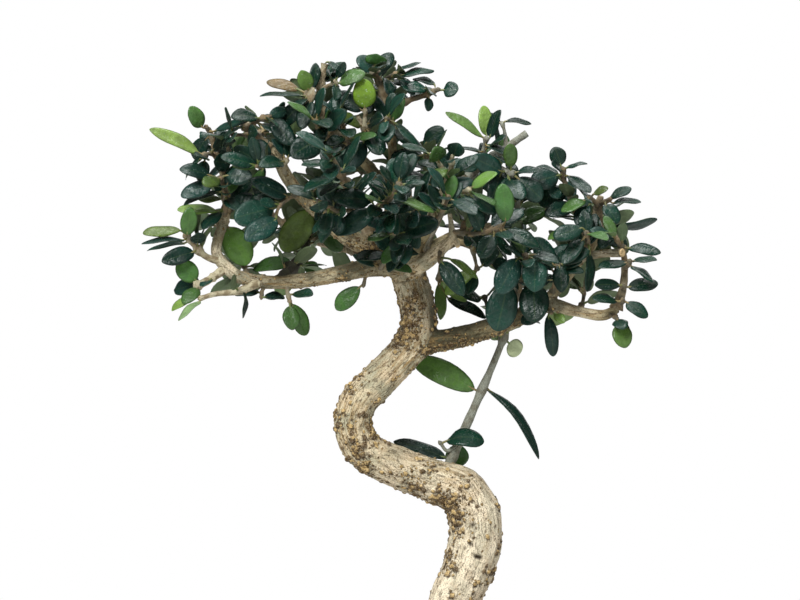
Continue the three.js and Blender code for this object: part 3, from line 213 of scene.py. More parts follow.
# The leafy sprays: the twigs of each, of which the first starts on the wood, and its own leaves.
SPRAYS = {
    "left_top": (
        Twig(((-88.5, 2.5, 298, 1.9), (-92, 0, 309, 1.6), (-95, -2, 320, 1.3), (-97, -5, 323, 0.9))),
        Twig(((-92, 0, 308), (-95, -5, 310), (-98, -8, 309))),
        Leaf((-98, -9, 309), (-125, -15, 322), 8, 40, LIGHT),
        Leaf((-98, -10, 308), (-108, -16, 310), 8, 70),
        Leaf((-99, -8, 323), (-105, -12, 333), 8.5, 15, MID),
        Leaf((-92, -6, 321.5), (-71.5, -10, 327), 8, 66), Leaf((-97, -3, 318), (-104, -1, 307), 9, 20),
        Leaf((-93, 1, 319), (-84, 4, 309), 9, 20),
    ),
    "left_inner": (
        Twig(((-81, 0, 305), (-84, -5, 308), (-86, -9, 312), (-87, -11, 316)), 2, 16),
        Leaf((-86, -9, 305), (-97.5, -15, 306.5), 9.5, 10), Leaf((-86, -11, 314), (-84, -24, 328), 9, 35),
    ),
    "left_middle": (
        Twig(((-90, 3, 279), (-88, -5, 285), (-87.5, -11, 291), (-90, -15, 297))),
        Leaf((-95, -16, 299), (-109.5, -21, 302), 9, 30, TEAL),
        Leaf((-94, -17, 295), (-108, -23, 289), 9, 20, TEAL),
        Leaf((-91, -18, 297), (-100, -28, 293), 8, 30, OLIVE),
        Leaf((-90.5, -11, 291), (-108, -16, 284.5), 7, 62), Leaf((-85, -9, 285), (-72, -14, 287), 9, 20),
        Leaf((-91.5, -5, 281.5), (-111.5, -9, 282), 8, 58, LIGHT),
        Leaf((-90, -8, 287.5), (-101, -9, 287.5), 7, 62, OLIVE),
        Leaf((-87, -16, 299), (-74, -21, 298), 10, 15, TEAL),
    ),
    "left_end": (
        Twig(((-91.5, -1, 255, 1.9), (-97, -4, 258.5, 1.6), (-103, -6, 264, 1.3), (-107, -7, 269, 0.9))),
        Leaf((-106.5, -13, 269.5), (-104.5, -16, 283), 8.5, 10, MID),
        Leaf((-110, -8, 272), (-128.5, -11, 270.5), 8, 52, OLIVE),
        Leaf((-108, -10, 267), (-129, -14, 265), 7, 62, TEAL),
        Leaf((-108, -4, 265.5), (-127, -1, 261.5), 7, 62, TEAL),
        Leaf((-101, -8, 262), (-100.5, -13, 272), 8, 10), Leaf((-103, -9, 261), (-119, -14, 256), 9, 20),
    ),
    "left_low": (
        Twig(((-88, -2, 253, 2.4), (-95, -6, 247.5, 1.8), (-101.5, -8, 244, 1.4))),
        Leaf((-102, -8, 246.5), (-111, -11, 256), 10.5, 5, MID),
        Leaf((-101, -10, 243), (-108, -16, 235.5), 8.5, 25, MID),
        Leaf((-101, -9, 241), (-114, -12, 232), 8, 58, LIGHT),
        Leaf((-92, -7.5, 247), (-101, -14, 241), 7, 55, TEAL),
    ),
    "left_pale": (
        Twig(((-70, -8, 246, 2), (-80, -14, 241.5, 1.6), (-92, -17, 240, 1.4), (-99, -18, 238, 1.1))),
        Leaf((-100, -19, 236.5), (-111, -22, 226), 7.5, 58, PALE),
        Leaf((-77.5, -14, 241), (-78.5, -18, 228), 8, 72),
    ),
    "left_hanging_pair": (
        Twig(((-57, -9, 246), (-56.5, -12, 241), (-55.5, -13, 237))),
        Leaf((-57, -14, 237), (-54, -19, 222.5), 9, 8, MID),
        Leaf((-53.5, -10, 238), (-47, -9, 219.5), 9.5, 20, MID),
        Leaf((-54, -12.5, 240), (-42, -14, 240), 7, 58),
    ),
    "left_under": (
        Twig(((-67, -8, 246), (-69, -8, 242), (-69.5, -7, 239))),
        Leaf((-71, -5, 241), (-83, -1, 240), 7, 50), Leaf((-68, -8, 238.5), (-58, -5, 238.5), 7, 55),
    ),
    "left_front": (
        Twig(((-51, -5, 290), (-55, -14, 288), (-60, -20, 284), (-62, -23, 279))),
        Leaf((-60, -25, 286.5), (-82, -31, 277.5), 13.5, 15, TEAL),
        Leaf((-63, -27, 276), (-81, -32, 263.5), 12, 15, TEAL),
        Leaf((-57, -18, 289), (-76, -21, 297), 10, 25, TEAL),
    ),
    "left_rear": (
        Twig(((-92, 2, 273, 1.8), (-90, 9, 276, 1.5), (-87, 20, 283, 1.2), (-85, 31, 293, 0.8)), 3, 18),
        Leaf((-87, 12, 274), (-77.5, 15, 254.5), 14.5, 5, BRIGHT),
    ),
    "left_bright": (
        Twig(((-41, -6, 281), (-43, 2, 282), (-43.5, 8, 282))),
        Leaf((-45, 9, 282), (-59.5, 13, 261.5), 15, 5, LIGHT),
        Leaf((-42, 10, 279), (-29, 13, 260), 12, 12, MID), Leaf((-43, 11, 284), (-40, 27, 288), 9, 60),
    ),
    "left_shaded": (
        Twig(((-62, -8, 246, 2.4), (-56, 6, 252, 2.2), (-50, 16, 259, 1.9), (-47, 26, 268, 1.3)), 2, 17),
        Leaf((-53, 12, 260), (-74, 7, 252.5), 9.5, 35, MID),
        Leaf((-48, 16, 261), (-43, 17, 250), 8, 20, MID),
    ),
    "left_single": (
        Twig(((-18, -7, 252.5), (-18, -8, 247.5), (-18.5, -8, 245))),
        Leaf((-20.5, -8, 243.5), (-32.5, -6, 232.3), 9.5, 10, MID),
    ),
    "upper_left_end": (
        Twig(((-66, -8.5, 312, 2.8), (-75, -10, 321, 2.2), (-79, -11, 325, 1.5))),
        Twig(((-73.5, -9, 319), (-78, -15, 319), (-83, -19, 319)), 1, 15),
        Twig(((-76, -10, 322), (-72, -15, 326), (-66, -17, 328))),
        Twig(((-72, -9, 318), (-71, 2, 320), (-69, 12, 322), (-68, 21, 323)), 3, 17),
        Leaf((-69, -17, 330), (-85, -20, 328), 9, 45), Leaf((-64, -17, 327), (-54, -21, 314), 10, 20),
        Leaf((-74, -16, 321), (-66, -22, 307), 10, 15),
    ),
    "upper_left_front": (Twig(((-63, -8, 309), (-66, -18, 306), (-69, -25, 303), (-71, -31, 303)), 2, 17),),
    "upper_left_knot": (
        Twig(((-57.5, -6, 299.5), (-58, -13, 302), (-57, -18, 306))),
        Leaf((-57, -19, 308), (-78, -26, 301), 9, 30), Leaf((-56, -18, 308), (-55, -16, 322), 8, 30),
    ),
    "crown_left": (
        Twig(((-31, -2, 317, 2.3), (-38, -4, 329, 2), (-40.5, -4, 342, 1.8), (-38, -4, 355, 1.6))),
        Twig(((-39, -4, 333), (-42, -9, 337), (-45.5, -12, 338.5))),
        Twig(((-40.5, -4, 342), (-36, -8, 344), (-33, -11, 345)), 1, 13),
        Twig(((-40, -4, 334), (-42, 6, 333), (-44, 15, 333), (-46, 24, 334)), 3, 17),
        Leaf((-48, -13, 338.5), (-70, -18, 338.5), 8, 72),
        Leaf((-46, -13, 341.5), (-49.5, -19, 351), 8, 10, BRIGHT),
        Leaf((-51, -8, 342), (-67, -6, 346), 6.5, 30, DEAD),
        Leaf((-47, -14, 337), (-60, -20, 324), 9, 10), Leaf((-45, -14, 336), (-50, -20, 320), 8.5, 30),
        Leaf((-45, -11, 341), (-42, -10, 356), 6, 25),
        Leaf((-31, -11, 345), (-18, -14, 350), 9, 35, MID), Leaf((-36, -4, 356), (-28, -6, 349), 7, 60),
    ),
    "crown_left_front": (
        Twig(((-28, -1, 313), (-35, -12, 317), (-40, -22, 321), (-42, -29, 325)), 2, 18),
        Leaf((-36, -17, 316), (-56, -24, 307), 14, 20), Leaf((-37, -19, 322), (-26, -27, 332), 9, 20),
    ),
    "crown_young": (
        Twig(((-18, -3, 316), (-18, -7, 324), (-18, -9, 331))),
        Leaf((-18, -10, 332.5), (-18.5, -13, 347), 11.5, 5, YOUNG),
        Leaf((-18, -11, 316), (-28.5, -19, 302), 12, 5, TEAL),
        Leaf((-20, -7, 324), (-33, -10, 330), 8, 50, OLIVE), Leaf((-16, -7, 325), (-4, -12, 329), 9, 45),
        Leaf((-20, -6, 332), (-33, -7, 341), 10, 20), Leaf((-16, -8, 321), (-9, -16, 307), 10, 15),
    ),
    "crown_top": (
        Twig(((-6, 8, 331, 2.1), (-10, 7, 344, 1.7), (-13, 6, 350, 1.2), (-13.5, 5, 353, 0.9))),
        Twig(((-10.5, 7, 345.5), (-6, 3, 348.5), (-2, 1, 350)), 1, 14),
        Leaf((-13, 4, 351), (-12, 0, 360), 11, 10, MID),
        Leaf((-15, 5, 351), (-21, 6, 359.5), 8, 25, TEAL), Leaf((-11, 7, 352), (-4.5, 9, 361), 8, 15),
        Leaf((-3, 2, 351), (10, 5, 356), 8, 76), Leaf((0, 0, 349.5), (16, -4, 352), 8, 62),
        Leaf((-12, 6, 342), (-24, 3, 340), 9, 40),
    ),
    "crown_right": (
        Twig(((-5.5, 8, 328, 2), (2, 6, 336, 1.6), (12, 3, 339.5, 1.3), (18, -1, 342, 0.9))),
        Leaf((18, -3, 343.5), (28.5, -5, 342), 8.5, 12),
        Leaf((13, -2, 342.5), (1, -6, 343), 8, 40, TEAL), Leaf((14, 1, 338), (13.5, -3, 331.5), 5, 20),
        Leaf((17, 2, 345), (6, 6, 348), 7, 60),
    ),
    "crown_front": (
        Twig(((-4.7, 8, 322), (-5, -2, 325), (-6, -10, 326), (-7, -16, 327)), 2, 13),
        Leaf((-2.5, -14, 325), (8.5, -16, 313), 6, 40),
    ),
    "crown_rear": (Twig(((-5, 8, 324), (-8, 18, 332), (-10, 28, 339), (-12, 37, 344)), 3, 17),),
    "crown_dark": (
        Twig(((-24, 0, 310), (-27, -10, 316), (-29, -18, 323), (-31, -25, 330)), 2, 14),
        Leaf((-28, -20, 318), (-40, -28, 312), 10, 45),
    ),
    "centre_upper": (
        Twig(((14, 8, 271), (16, 4, 288), (15, 0, 301), (12, -3, 312)), 1, 15),
        Leaf((12, -4, 315), (21, -7, 323), 9, 10), Leaf((17, -2, 304), (24, -6, 315), 8, 30, MID),
        Leaf((10, -5, 309), (-5, -8, 308), 9, 30),
    ),
    "centre_grey": (
        Twig(((34, 7.5, 298.5, 2.2), (40, 7, 304, 2.1), (49.5, 5, 311, 1.8), (63, 3, 320.5, 1.8))),
        Twig(((40, 7, 304), (41, 2, 310), (42.5, -1, 317))),
        Twig(((52, 4, 313.5), (52, 8, 321), (51, 10, 325))),
        Twig(((44, 6, 307), (50, -2, 303), (55, -7, 300)), 1, 14),
        Leaf((41, -1, 318.5), (22.5, -3, 331), 7.5, 48, BRIGHT),
        Leaf((43, 5, 319.5), (41.5, 6, 334.5), 7.5, 10, LIGHT),
        Leaf((44.5, 0, 318.5), (49.5, -2, 332), 8, 40), Leaf((40, -1, 311), (20, -3, 312), 8, 72),
        Leaf((43, -4, 314), (57, -8, 308), 8, 60), Leaf((52.5, 9, 327), (65.5, 11, 325.5), 6, 68),
        Leaf((50, 11, 326), (40, 15, 331), 7, 55),
        Leaf((57.5, -9, 301), (54, -12, 316), 7.5, 15, BRIGHT),
        Leaf((50, -7, 301), (35, -14, 308), 10, 15, TEAL),
        Leaf((58, -8, 298), (70, -10, 287), 11, 15, TEAL), Leaf((54, -8, 297), (62, -14, 283), 10, 20),
    ),
    "centre_crest": (
        Twig(((16, -23, 278, 2.6), (21, -31, 290, 2), (24.5, -37, 301, 1.4), (25, -42, 307, 0.9)), 1, 14),
        Twig(((23, -34, 296), (20, -40, 302), (16, -44, 308)), 1, 16),
        Twig(((20, -29, 287), (27, -35, 289), (33, -39, 291)), 1, 17),
        Leaf((18, -43, 302), (16, -49, 313), 10, 12, MID),
        Leaf((26.5, -42, 303.5), (28, -46, 314), 9, 15),
        Leaf((35, -40, 292.5), (47, -43, 299.5), 8, 40, BRIGHT),
        Leaf((35, -38, 288), (47, -40, 280), 9, 30),
    ),
    "centre_glossy": (
        Twig(((25, -24.5, 270.5), (33, -29, 269.5), (41, -34, 270.5), (49, -37, 273))),
        Leaf((51.5, -41, 275.5), (50, -44, 294), 10, 5, MID),
        Leaf((51.5, -38, 271), (68, -41, 263), 9, 30), Leaf((46, -37, 269), (38.5, -42, 258), 9.5, 15),
        Leaf((50, -38, 270), (59, -50, 258), 9.5, 25, TEAL), Leaf((40, -35, 271), (34, -40, 284), 9, 25),
    ),
    "centre_dark": (Twig(((13, -19, 273), (7, -30, 280), (1, -37, 282), (-5, -43, 282)), 2, 18),),
    "centre_low": (
        Twig(((9, -12, 266), (4, -24, 268), (0, -32, 269), (-3, -39, 270)), 2, 18),
        Leaf((1, -37, 270), (20, -43, 276), 11, 20),
    ),
    "centre_over_left": (
        Twig(((-10, -7, 252), (-10, -14, 253.5), (-7, -20, 257.5), (-4, -21.5, 260))),
        Leaf((-4, -21, 259.5), (-23, -23, 257.5), 8.5, 42), Leaf((-1, -21, 262), (-14, -28, 272), 9, 25),
    ),
    "centre_behind": (
        Twig(((36, 15, 263.5), (37, 8, 258), (38, 2, 253))),
        Leaf((37, 1, 252), (22, -2, 240), 8, 35, LIGHT), Leaf((42, 1, 247), (33.5, -3, 240.5), 8, 25),
        Leaf((40.5, 1, 254), (48, -2, 265), 9, 30),
    ),
    "centre_drooping": (
        Twig(((20, -19, 261.5), (19, -27, 258), (19, -31, 256))),
        Leaf((20, -32, 256), (31, -36, 239.5), 9.5, 15),
        Leaf((24.5, -28, 257.5), (38, -27, 247.5), 6.5, 48, OLIVE),
    ),
    "centre_hanging": (
        Twig(((22, 13, 266), (20, 13, 256), (19, 13, 248))),
        Leaf((19, 13, 245), (20, 14, 227), 7.5, 30, LIGHT),
        Leaf((20, 14, 247), (33, 16, 236), 8, 30, LIGHT), Leaf((23, 10, 238), (42, 6, 228.5), 8, 40),
    ),
    "right_ovals": (
        Twig(((54.5, -6, 227), (58.5, -18, 240), (61, -26, 251), (61.5, -31, 258.5))),
        Leaf((57.5, -33, 257.5), (48, -38, 240.5), 12.5, 8, TEAL),
        Leaf((66, -34, 257), (65.5, -40, 241), 13, 5, TEAL),
        Leaf((66, -32, 259.5), (79, -35, 255), 7, 45), Leaf((65.5, -27, 244.5), (66, -33, 226), 15, 5),
        Leaf((53, -26, 246.5), (47.5, -33, 223), 16, 5, TEAL),
    ),
    "right_inner": (
        Twig(((76, -4, 240), (77, -13, 248), (78, -19, 254))),
        Leaf((78.5, -21, 254), (79.5, -27, 241), 8.5, 10), Leaf((76, -18, 254), (66, -19, 268), 10, 20),
        Leaf((74, -14, 247), (60, -12, 244), 8, 30), Leaf((80, -19, 255), (93, -22, 262), 9, 40),
    ),
    "right_hanging": (
        Twig(((73.5, -6, 235), (74, -14, 232), (74.5, -18, 231))),
        Leaf((73, -19, 229.5), (75.5, -22, 209), 7.5, 18, TEAL),
        Leaf((76, -19, 230), (81, -23, 226), 5, 25, LIGHT),
    ),
    "right_crossing": (
        Twig(((90, 3, 257.5), (92, -5, 262), (93, -12, 266), (92, -18, 270)), 1, 17),
        Leaf((94, -14, 261), (92.5, -17, 241), 7, 40), Leaf((92, -17, 270), (80, -24, 255), 8, 30),
        Leaf((90, -19, 273), (76, -27, 268), 10, 25), Leaf((92, -9, 262), (74, -8, 259), 10, 30),
    ),
    "right_upper_end": (
        Twig(((98, 5, 274, 2.8), (99, 4, 284.5, 2.2), (100, 3, 289, 1.5))),
        Twig(((99, 4, 283), (97, -2, 286), (94, -6, 288))),
        Twig(((99, 4, 285), (102, 1, 286), (104, 0, 287))),
        Twig(((99, 4, 279), (100, 15, 277), (102, 25, 275), (103, 34, 275)), 3, 16),
        Leaf((92, -7, 287), (80, -11, 281), 9, 42, MID), Leaf((93, -7, 290), (88, -12, 284), 7, 20),
        Leaf((96, -5, 290), (103, -8, 293), 5, 40, OLIVE), Leaf((104, 0, 288), (115, -2, 293), 6.5, 45),
        Leaf((105, -2, 285.5), (119, -6, 286), 6.5, 66), Leaf((102, -2, 285), (108, -6, 275), 8.5, 20),
    ),
    "right_underside": (
        Twig(((98, 5, 271), (102, 1, 271.5), (105, -1, 272))),
        Leaf((107, -1, 273), (128, -3, 277), 8, -60, TEAL), Leaf((104, -2, 270), (99, -6, 262), 7.5, 20),
    ),
    "right_end": (
        Twig(((107, -10.5, 232.5, 2.6), (110.5, -11, 243, 2), (111.5, -6.5, 256, 1.6), (110, -4, 265, 1.2))),
        Twig(((110.5, -5, 262.5), (108, -11, 266), (107, -12, 268))),
        Twig(((111.2, -8, 252.5), (113, -14, 254), (113.5, -16, 256))),
        Twig(((110.5, -11, 243), (111, -16, 243), (111, -18, 244))),
        Twig(((109.5, -11, 238), (110, -17, 236), (110, -19, 237))),
        Leaf((109.5, -6, 265), (129.5, -9, 260.5), 7.5, 42),
        Leaf((106, -13, 268), (94, -17, 272), 8, 50, TEAL),
        Leaf((115, -16, 256.5), (127, -19, 257), 7, 66), Leaf((112, -16, 255.5), (98, -21, 253.5), 7, 48),
        Leaf((114.5, -16, 254), (125, -21, 246), 7.5, 62), Leaf((113, -18, 243.5), (128, -21, 245.5), 8, 30),
        Leaf((109, -18, 244.5), (96, -23, 244.5), 7, 35), Leaf((107.5, -19, 236.5), (95, -23, 238), 7, 42),
        Leaf((112, -19, 236), (122, -23, 228.5), 8, 30),
    ),
    "right_low": (
        Twig(((103, -10, 230.5), (106, -14, 229), (107, -16, 228))),
        Leaf((109, -17, 228.5), (111.5, -20, 213.5), 10, 8, BRIGHT),
        Leaf((101, -16, 231.5), (110, -25, 223), 8, 15), Leaf((108, -13, 227), (112, -12, 217), 8, 10),
    ),
    "right_crest": (
        Twig(((95, 5, 264.5, 1.6), (90, 6, 275, 1.4), (86, 6, 285, 1.2), (82, 5, 296, 1), (81, 4, 302, 0.8))),
        Leaf((80, 4, 304.5), (77, 3, 313.5), 8.5, 10), Leaf((79, 2, 303), (71, -1, 308), 6, 62),
        Leaf((83, 3, 303.5), (93, 1, 305.5), 7, 66), Leaf((84, 3, 299), (97.5, -1, 288), 8, 52, TEAL),
        Leaf((79, 2, 299.5), (65.5, -4, 295.5), 12, 12, TEAL), Leaf((85, 2, 294), (76, -3, 290), 8, 25),
        Leaf((83, 8, 292), (69, 13, 286), 11, 20), Leaf((86, 2, 284), (72, -3, 280), 9, 25),
    ),
    "right_shaded": (
        Twig(((44, -5, 223.5), (44, 6, 231), (42, 14, 238)), 1, 17),
        Leaf((40, 14, 238), (26, 11, 241), 8, 40),
    ),
    "right_rear": (Twig(((82, 0, 247.5), (84, 12, 250), (86, 22, 255), (87, 31, 261)), 3, 17),),
    "back_left_end": (
        Twig(((-31, 33, 265, 3.4), (-47, 49, 269, 2.4), (-60, 59, 276, 1.6), (-72, 66, 286, 0.9)), 3, 19),
        Twig(((-38, 40, 267), (-36, 54, 266), (-33, 62, 268), (-30, 68, 272)), 3, 18),
        Twig(((-49, 51, 270), (-49, 55, 279), (-47, 57, 289), (-44, 57, 300)), 3, 18),
    ),
    "back_right_end": (
        Twig(((33, 35, 271, 3.4), (50, 48, 273, 2.4), (63, 57, 278, 1.6), (75, 64, 285, 0.9)), 3, 19),
        Twig(((42, 43, 272), (40, 56, 270), (37, 63, 271), (34, 68, 274)), 3, 18),
        Twig(((53, 51, 274), (52, 55, 281), (50, 57, 290), (47, 57, 299)), 3, 18),
    ),
    "back_upper_end": (
        Twig(((3, 27, 286, 3), (1, 40, 302, 2.2), (-5, 48, 317, 1.5), (-11, 53, 331, 0.9)), 3, 18),
        Twig(((2, 38, 299), (12, 48, 298), (23, 55, 299), (33, 59, 302)), 3, 18),
        Twig(((2, 36, 297), (-9, 47, 299), (-20, 54, 303), (-29, 58, 310)), 3, 18),
    ),
    "back_middle": (Twig(((3, 24, 282), (6, 40, 279), (7, 53, 278), (6, 65, 281)), 3, 19),),
    "back_left_inner": (Twig(((-24, 26, 263), (-31, 31, 272), (-35, 33, 281), (-37, 33, 294)), 3, 18),),
    "back_right_inner": (Twig(((27, 29, 267), (32, 32, 275), (36, 34, 283), (38, 35, 292)), 3, 18),),
    "back_right_side": (Twig(((86, -8, 231.5), (90, 4, 234), (92, 16, 239), (93, 28, 246)), 2, 17),),
    "back_left_side": (Twig(((-76, -6, 247.5), (-77, 6, 250), (-79, 19, 254), (-81, 31, 259)), 3, 17),),
    "front_left": (
        Twig(((-16, -27, 272, 3), (-23, -44, 286, 2), (-29, -57, 298, 1.4), (-35, -71, 308, 0.9)), 3, 18),
        Twig(((-20, -37, 280), (-11, -48, 283), (-5, -57, 287), (-1, -65, 293)), 3, 17),
        Twig(((-20, -38, 281), (-28, -48, 281), (-35, -56, 282), (-40, -63, 285)), 2, 17),
        Leaf((-15, -46, 286), (-37, -50, 287), 11, 15), Leaf((-14, -46, 281), (-33, -49, 268), 11, 12),
        Leaf((-12, -48, 287), (4, -54, 290), 10, 25),
    ),
    "front_middle": (Twig(((12, -17, 271), (16, -32, 275), (20, -45, 280), (23, -57, 287)), 1, 17),),
    "water_shoot": (
        Twig(((20, 4, 145, 2.4), (24.5, 8, 155.5, 2.3), (38.5, 9, 187, 1.95), (51.5, 11, 218, 1.6),
            (57, 14, 240, 1.4), (59, 15, 262, 1.2), (58.5, 13, 284, 1.1), (58, 11, 296, 0.8))),
        Twig(((27, 8.5, 160.5), (23, 5.5, 161.5), (20, 4.5, 165))),
        Leaf((37, 9, 192), (6, 6, 207.5), 12.5, 10, BRIGHT, 0.7),
        Leaf((43.5, 10, 192.5), (69.5, 16, 157), 8.5, 62, bend=0.75),
        Leaf((22.5, 3.5, 166.5), (41.5, 1, 166.5), 12, 48, bend=1.15),
        Leaf((29, 13.5, 164.5), (27, 16, 152.5), 12, 10, MID),
        Leaf((21.5, 12, 158), (-5.5, 14, 166.5), 10, 52),
        Leaf((51.5, 14, 219), (60, 15, 210), 9.5, 15, MILKY),
        Leaf((48.5, 13, 217), (45, 15, 222), 6, 15, PALE),
        Leaf((60, 16, 252), (72, 20, 260), 9, 30, MID), Leaf((57, 13, 250), (45, 18, 256), 9, 30),
        Leaf((60, 14, 276), (72, 18, 283), 9, 30, MID), Leaf((57, 13, 274), (46, 18, 281), 9, 30),
    ),
}

# How a limb, a leaf and a pair of leaves are laid out, in millimetres and degrees.
TWIG_BASE, TWIG_TIP = 1.15, 0.75
SPOTS_PER_PIECE = 8
STALK_LENGTH = 2.4
STALK_HALF = 0.65
SPOT_STEP = 2.7
LEAF_CLEARANCE = 2.3
BARK_CLEARANCE = 1.7
ROOT_REACH = 2.5
WIDEST_TURN = 75.0
ROOT_CLEARANCE = 0.6
SEED = 20260
FIRST_PAIR, LAST_PAIR = 0.38, 0.98
WIDE_SPREAD, NARROW_SPREAD = 68.0, 40.0
ROLL = 35.0
PAIR_SWINGS = (0, 20, -20, 40, -40)
NAMED_SWINGS = (0, 12, -12, 24, -24, 36, -36)
SHORTENINGS = (1.0, 0.86, 0.72)
LEAST_BEND, OWN_BEND, RULED_BEND = 0.25, 0.4, 0.5
MOST_FOLD = 0.25
ROLL_SCATTER = (24, 16)
PAIR_LENGTHS = (0.85, 0.3)
PAIRED = Habit(scatter=16, rise=(0.12, 0.3), width=(0.46, 0.1), along=0.7)
TONE_LIMITS = ((0.66, DARK), (0.88, TEAL), (0.98, MID), (1.01, BRIGHT))

# How the leaves that fill the crown up are laid out, in millimetres and degrees.
FILL_STEP = 2.6
FILL_FROM = 0.15
FILL_CLEARANCE = 1.25
FILL_SHORTEST, FILL_LONGEST = 10.5, 16.5
FILL_SWINGS = (0, 30, -30, 60, -60)
FILLING = Habit(scatter=20, rise=(0.2, 0.5), width=(0.48, 0.12), along=0.5, forward=0.5)

# The crown's outline as the camera sees it, and the gaps in it that stay open: x, z.
OUTLINE = (
    (-103, 319.5), (-93, 323), (-80.5, 328), (-69.5, 330.5), (-63, 338), (-55.5, 346), (-45.5, 354),
    (-33, 356), (-23, 358), (-8, 360), (-1.5, 356), (2, 349.5), (14.5, 347), (18.5, 339.5), (9.5, 337),
    (2, 335.5), (1.5, 324.5), (8.5, 323), (18.5, 323), (19.5, 312), (37, 312), (39.5, 317), (49.5, 328),
    (55.5, 319.5), (59.5, 305.5), (72, 305.5), (89.5, 303), (94.5, 292), (102, 287), (112, 287),
    (114.5, 272), (113.5, 259.5), (114.5, 242), (113.5, 231), (99.5, 228), (79.5, 228), (69.5, 224.5),
    (44.5, 217), (19.5, 222), (14.5, 242), (-3, 249.5), (-50.5, 243), (-80.5, 241), (-98, 242),
    (-110.5, 237), (-118, 242), (-119, 259.5), (-108, 272), (-111.5, 287), (-109.5, 304.5),
)
GAPS = (
    (-38, 338.5, -34, 344.5), (-54.5, 321, -45.5, 326), (-59, 304.5, -50.5, 309.5),
    (-68, 299.5, -63, 304.5), (-109, 284.5, -90.5, 289), (-58, 284.5, -50.5, 288.5),
    (-64.5, 274.5, -59, 282), (-73, 258.5, -65.5, 264.5), (-43, 256, -28, 262),
    (-100.5, 244.5, -89.5, 264.5), (14.5, 244.5, 18, 249.5), (22, 237, 49.5, 263.5), (18, 222, 44.5, 231),
    (64.5, 272, 73, 279.5), (87, 232, 99.5, 242), (94.5, 244.5, 112, 254.5), (92, 292, 99.5, 307),
)
# What the crown shows in front, which no filling leaf hides: x, z, x, z, and how far forward it stands.
SHOWN = (
    (-26.5, 334, -12, 348, -9), (-22, 318, -14, 331, -4), (10, 249, 31, 282, -22), (93, 255, 115, 264, 0),
    (-62, 268, -44, 284, 12), (-92, 254, -74, 274, 14), (-60, 244, -44, 254, 6), (57, 300, 71, 322, 1),
    (-99, 242, -86, 256, -4), (106, 232, 114, 268, -9), (78, 228, 110, 236, -11), (-64, 288, -42, 303, -8),
)
EYE = np.array((-0.5, -2500.0, 237.0))

UP = np.array((0.0, 0.0, 1.0))
FRONT = np.array((0.0, -1.0, 0.0))
NAMED_UP = np.array((0.3, 0.0, 1.0))


def lerp(start: float, end: float, share: float) -> float:
    """Return the value that lies a share of the way from start to end."""
    return start + (end - start) * share


def unit(vector: Point) -> Point:
    """Return the vector at length 1."""
    return vector / np.linalg.norm(vector)


def turned(vector: Point, axis: Point, degrees: float) -> Point:
    """Turn a vector about an axis of length 1.

    Args:
        vector: What is turned.
        axis: The axis, of length 1.
        degrees: How far it is turned.

    Returns:
        The turned vector.
    """
    angle = math.radians(degrees)
    along = axis * axis.dot(vector) * (1 - math.cos(angle))
    return vector * math.cos(angle) + np.cross(axis, vector) * math.sin(angle) + along


def angle_between(first: Point, second: Point) -> float:
    """Return the angle between two vectors in degrees."""
    return math.degrees(math.acos(np.clip(unit(first).dot(unit(second)), -1, 1)))


def linear(share: float) -> float:
    """Return a linear light value for an sRGB share."""
    return share / 12.92 if share <= 0.04045 else ((share + 0.055) / 1.055) ** 2.4


def srgb(red: float, green: float, blue: float) -> Colour:
    """Return the linear colour of three sRGB shares."""
    return (linear(red), linear(green), linear(blue), 1.0)


class Draws:
    """Park and Miller's generator, so that every run grows the same tree."""

    def __init__(self, seed: int) -> None:
        """Start from the seed."""
        self.state = seed

    def next(self) -> float:
        """Return the next share between 0 and 1."""
        self.state = self.state * 16807 % 2147483647
        return self.state / 2147483647


